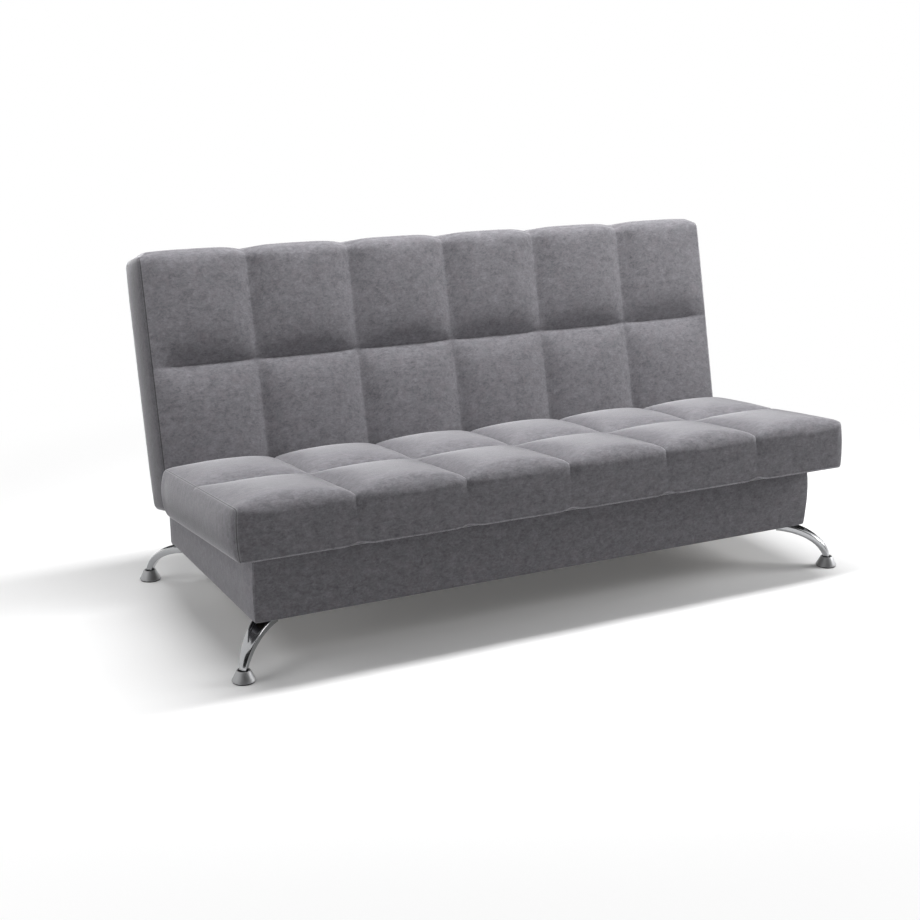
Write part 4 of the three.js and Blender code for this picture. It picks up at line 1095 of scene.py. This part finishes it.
def woodFinish(name):
    wood, share = woods[name], woodGrain["fibreShare"]
    finish = Finish(name)
    where = finish.stretched(finish.coordinates(), wood["grain"])
    fibre = finish.noise(where, woodGrain["fibres"], 3.0, 0.65)
    ring = finish.noise(where, wood["rings"], 2.0, 0.5, 0.8)
    pore = finish.noise(where, woodGrain["pores"], 1.0, 0.5)
    ringShare = (ring * woodGrain["contrast"] - woodGrain["darker"]).clamped()
    colour = finish.mixColour(ringShare, rgba(wood["light"]), rgba(wood["dark"]))
    inFibre = rgba([v * woodGrain["fibreDark"] for v in wood["dark"]])
    colour = finish.mixColour((fibre - 0.5).clamped() * woodGrain["fibreStrength"], colour, inFibre)
    normal = finish.bump(fibre * share + pore * (1 - share), woodGrain["depth"], 0.5)
    return finish.surface({"Base Color": colour, "Normal": normal,
                           "Roughness": woodGrain["roughness"] + fibre * woodGrain["roughFibres"]})


bySlot = {"dark_steel": paintedFinish(), "zinc_plated_steel": zincFinish(), "beech": woodFinish("beechSlat"),
          "board": woodFinish("pressedBoard"), "rubber": rubber, "chrome": chrome,
          "upholstery_fabric": plainFabric, "lining_fabric": lining}
slotOf = {entry["node"]: entry["material_slot"] for entry in frame["record"]["subparts"]}
for name, node in frame["nodes"].items():
    material = bySlot[slotOf[name]]
    if not node.data.materials:
        node.data.materials.append(material)
    for index in range(len(node.data.materials)):
        node.data.materials[index] = material
print("CAD nodes have their finishes")

# floor, light and camera
studio = {
    "floor": 0.90, "bounce": 0.45, "shadowLift": 0.08, "nearFloor": 1.2, "farFloor": 2.6,
    "ambient": 0.10,
    "card": ((-4.2, -2.502, 0.0), (4.2, -2.5, 4.2)),  # the dark card's two far corners
    "mirrored": ("rightFill",),  # lamps that the chrome shows
}
lamps = {  # power, size, place, point that it is aimed at
    "overheadStrip": (88.0, (2.6, 0.35), (-0.2, 0.0, 3.2), (-0.2, 0.0, 0.0)),
    "overheadRight": (46.0, (0.8, 0.35), (1.5, 0.0, 3.2), (1.5, 0.0, 0.0)),
    "overheadRear": (13.0, (1.3, 0.35), (-0.85, 0.9, 3.2), (-0.85, 0.9, 0.0)),
    "leftLow": (12.0, (1.6, 0.8), (-3.4, -0.6, 0.6), (-0.6, 0.0, 0.3)),
    "leftRear": (8.0, (1.6, 1.0), (-3.4, 1.0, 0.8), (-0.6, 0.0, 0.3)),
    "leftHigh": (18.0, (1.6, 1.2), (-3.0, 0.3, 2.4), (-0.4, 0.0, 0.4)),
    "rightFill": (64.0, (1.6, 1.2), (3.4, -1.0, 1.6), (0.6, 0.0, 0.4)),
    "frontLow": (15.0, (2.4, 0.7), (0.0, -3.6, 0.4), (0.0, 0.0, 0.3)),
    "rearFill": (22.0, (2.4, 1.2), (0.4, 4.0, 2.0), (0.0, 0.0, 0.5)),
}
view = {"azimuth": 27.4064, "pitch": 15.5472, "focal": 57.89, "fromFront": (-2.0497, -3.3689, 1.5413)}


def raysSeen(finish):  # 1 for rays that look, 0 for those that light
    path = finish.node("ShaderNodeLightPath")
    return path["Is Camera Ray"].atLeast(path["Is Glossy Ray"]).atLeast(path["Is Transmission Ray"])


def makeFloor():
    clearSelection()
    bpy.ops.mesh.primitive_plane_add(size=60, location=(0, 0, 0))
    floor = bpy.context.object
    floor.name = "studioFloor"
    finish = Finish("paleFloor")
    where = finish.coordinates()
    faint = finish.noise(where, 3.0, 2.0, 0.5)
    looks = raysSeen(finish)
    tone, bounce = studio["floor"], studio["bounce"]
    bright = finish.mixColour(faint, rgba([tone] * 3), rgba([tone * 0.99] * 3))
    colour = finish.mixColour(looks, rgba([bounce] * 3), bright)
    values = {"Base Color": colour, "Roughness": 0.9, "Specular IOR Level": 0.1}
    shaded = finish.node("ShaderNodeBsdfPrincipled", None, values)["BSDF"]
    white = finish.node("ShaderNodeEmission", None, {"Color": (1, 1, 1, 1), "Strength": 1.0})["Emission"]
    away = finish.node("ShaderNodeVectorMath", {"operation": "LENGTH"}, [where])["Value"]
    lift = studio["shadowLift"]
    plain = (lift + (1.0 - lift) * (1.0 - away.fade(studio["nearFloor"], studio["farFloor"]))) * looks
    mixed = finish.node("ShaderNodeMixShader", None, [plain, shaded, white])["Shader"]
    finish.node("ShaderNodeOutputMaterial", None, {"Surface": mixed})
    floor.data.materials.append(finish.material)


def makeWorld():
    sky = Finish("studioWorld", bpy.data.worlds.new("studioWorld"))
    plain = []
    for strength in (studio["ambient"], 1.0):
        values = {"Color": (1, 1, 1, 1), "Strength": strength}
        plain.append(sky.node("ShaderNodeBackground", None, values)["Background"])
    mixed = sky.node("ShaderNodeMixShader", None, [raysSeen(sky), *plain])["Shader"]
    sky.node("ShaderNodeOutputWorld", None, {"Surface": mixed})
    bpy.context.scene.world = sky.material


def makeDarkCard():  # only the chrome sees it, as in a real studio
    finish = Finish("darkCloth")
    weave = finish.noise(finish.coordinates(), 40.0, 2.0, 0.5)
    colour = finish.mixColour(weave, rgba([0.02] * 3), rgba([0.03] * 3))
    card = addCube("darkCard", *studio["card"])
    card.data.materials.append(finish.surface({"Base Color": colour, "Roughness": 0.95}))
    card.visible_camera = False
    card.visible_diffuse = False
    card.visible_transmission = False
    card.visible_volume_scatter = False
    card.visible_shadow = False


def addLamp(name, power, size, location, target):
    data = bpy.data.lights.new(name, "AREA")
    data.shape = "RECTANGLE"
    data.size, data.size_y = size
    data.energy = power
    light = bpy.data.objects.new(name, data)
    light.location = location
    light.visible_camera = False
    light.visible_glossy = name in studio["mirrored"]
    light.rotation_euler = (Vector(target) - Vector(location)).to_track_quat("-Z", "Y").to_euler()
    bpy.context.scene.collection.objects.link(light)


def addCamera():
    data = bpy.data.cameras.new("camera")
    data.lens = view["focal"]
    data.sensor_width = 36
    camera = bpy.data.objects.new("camera", data)
    x, y, z = view["fromFront"]
    camera.location = (x, y + place["frontFace"], z)
    camera.rotation_euler = (math.radians(90 - view["pitch"]), 0, -math.radians(view["azimuth"]))
    bpy.context.scene.collection.objects.link(camera)
    bpy.context.scene.camera = camera


makeFloor()
makeWorld()
makeDarkCard()
for name, values in lamps.items():
    addLamp(name, *values)
addCamera()
bpy.context.scene.view_settings.view_transform = "Standard"
print("floor, light and camera done")
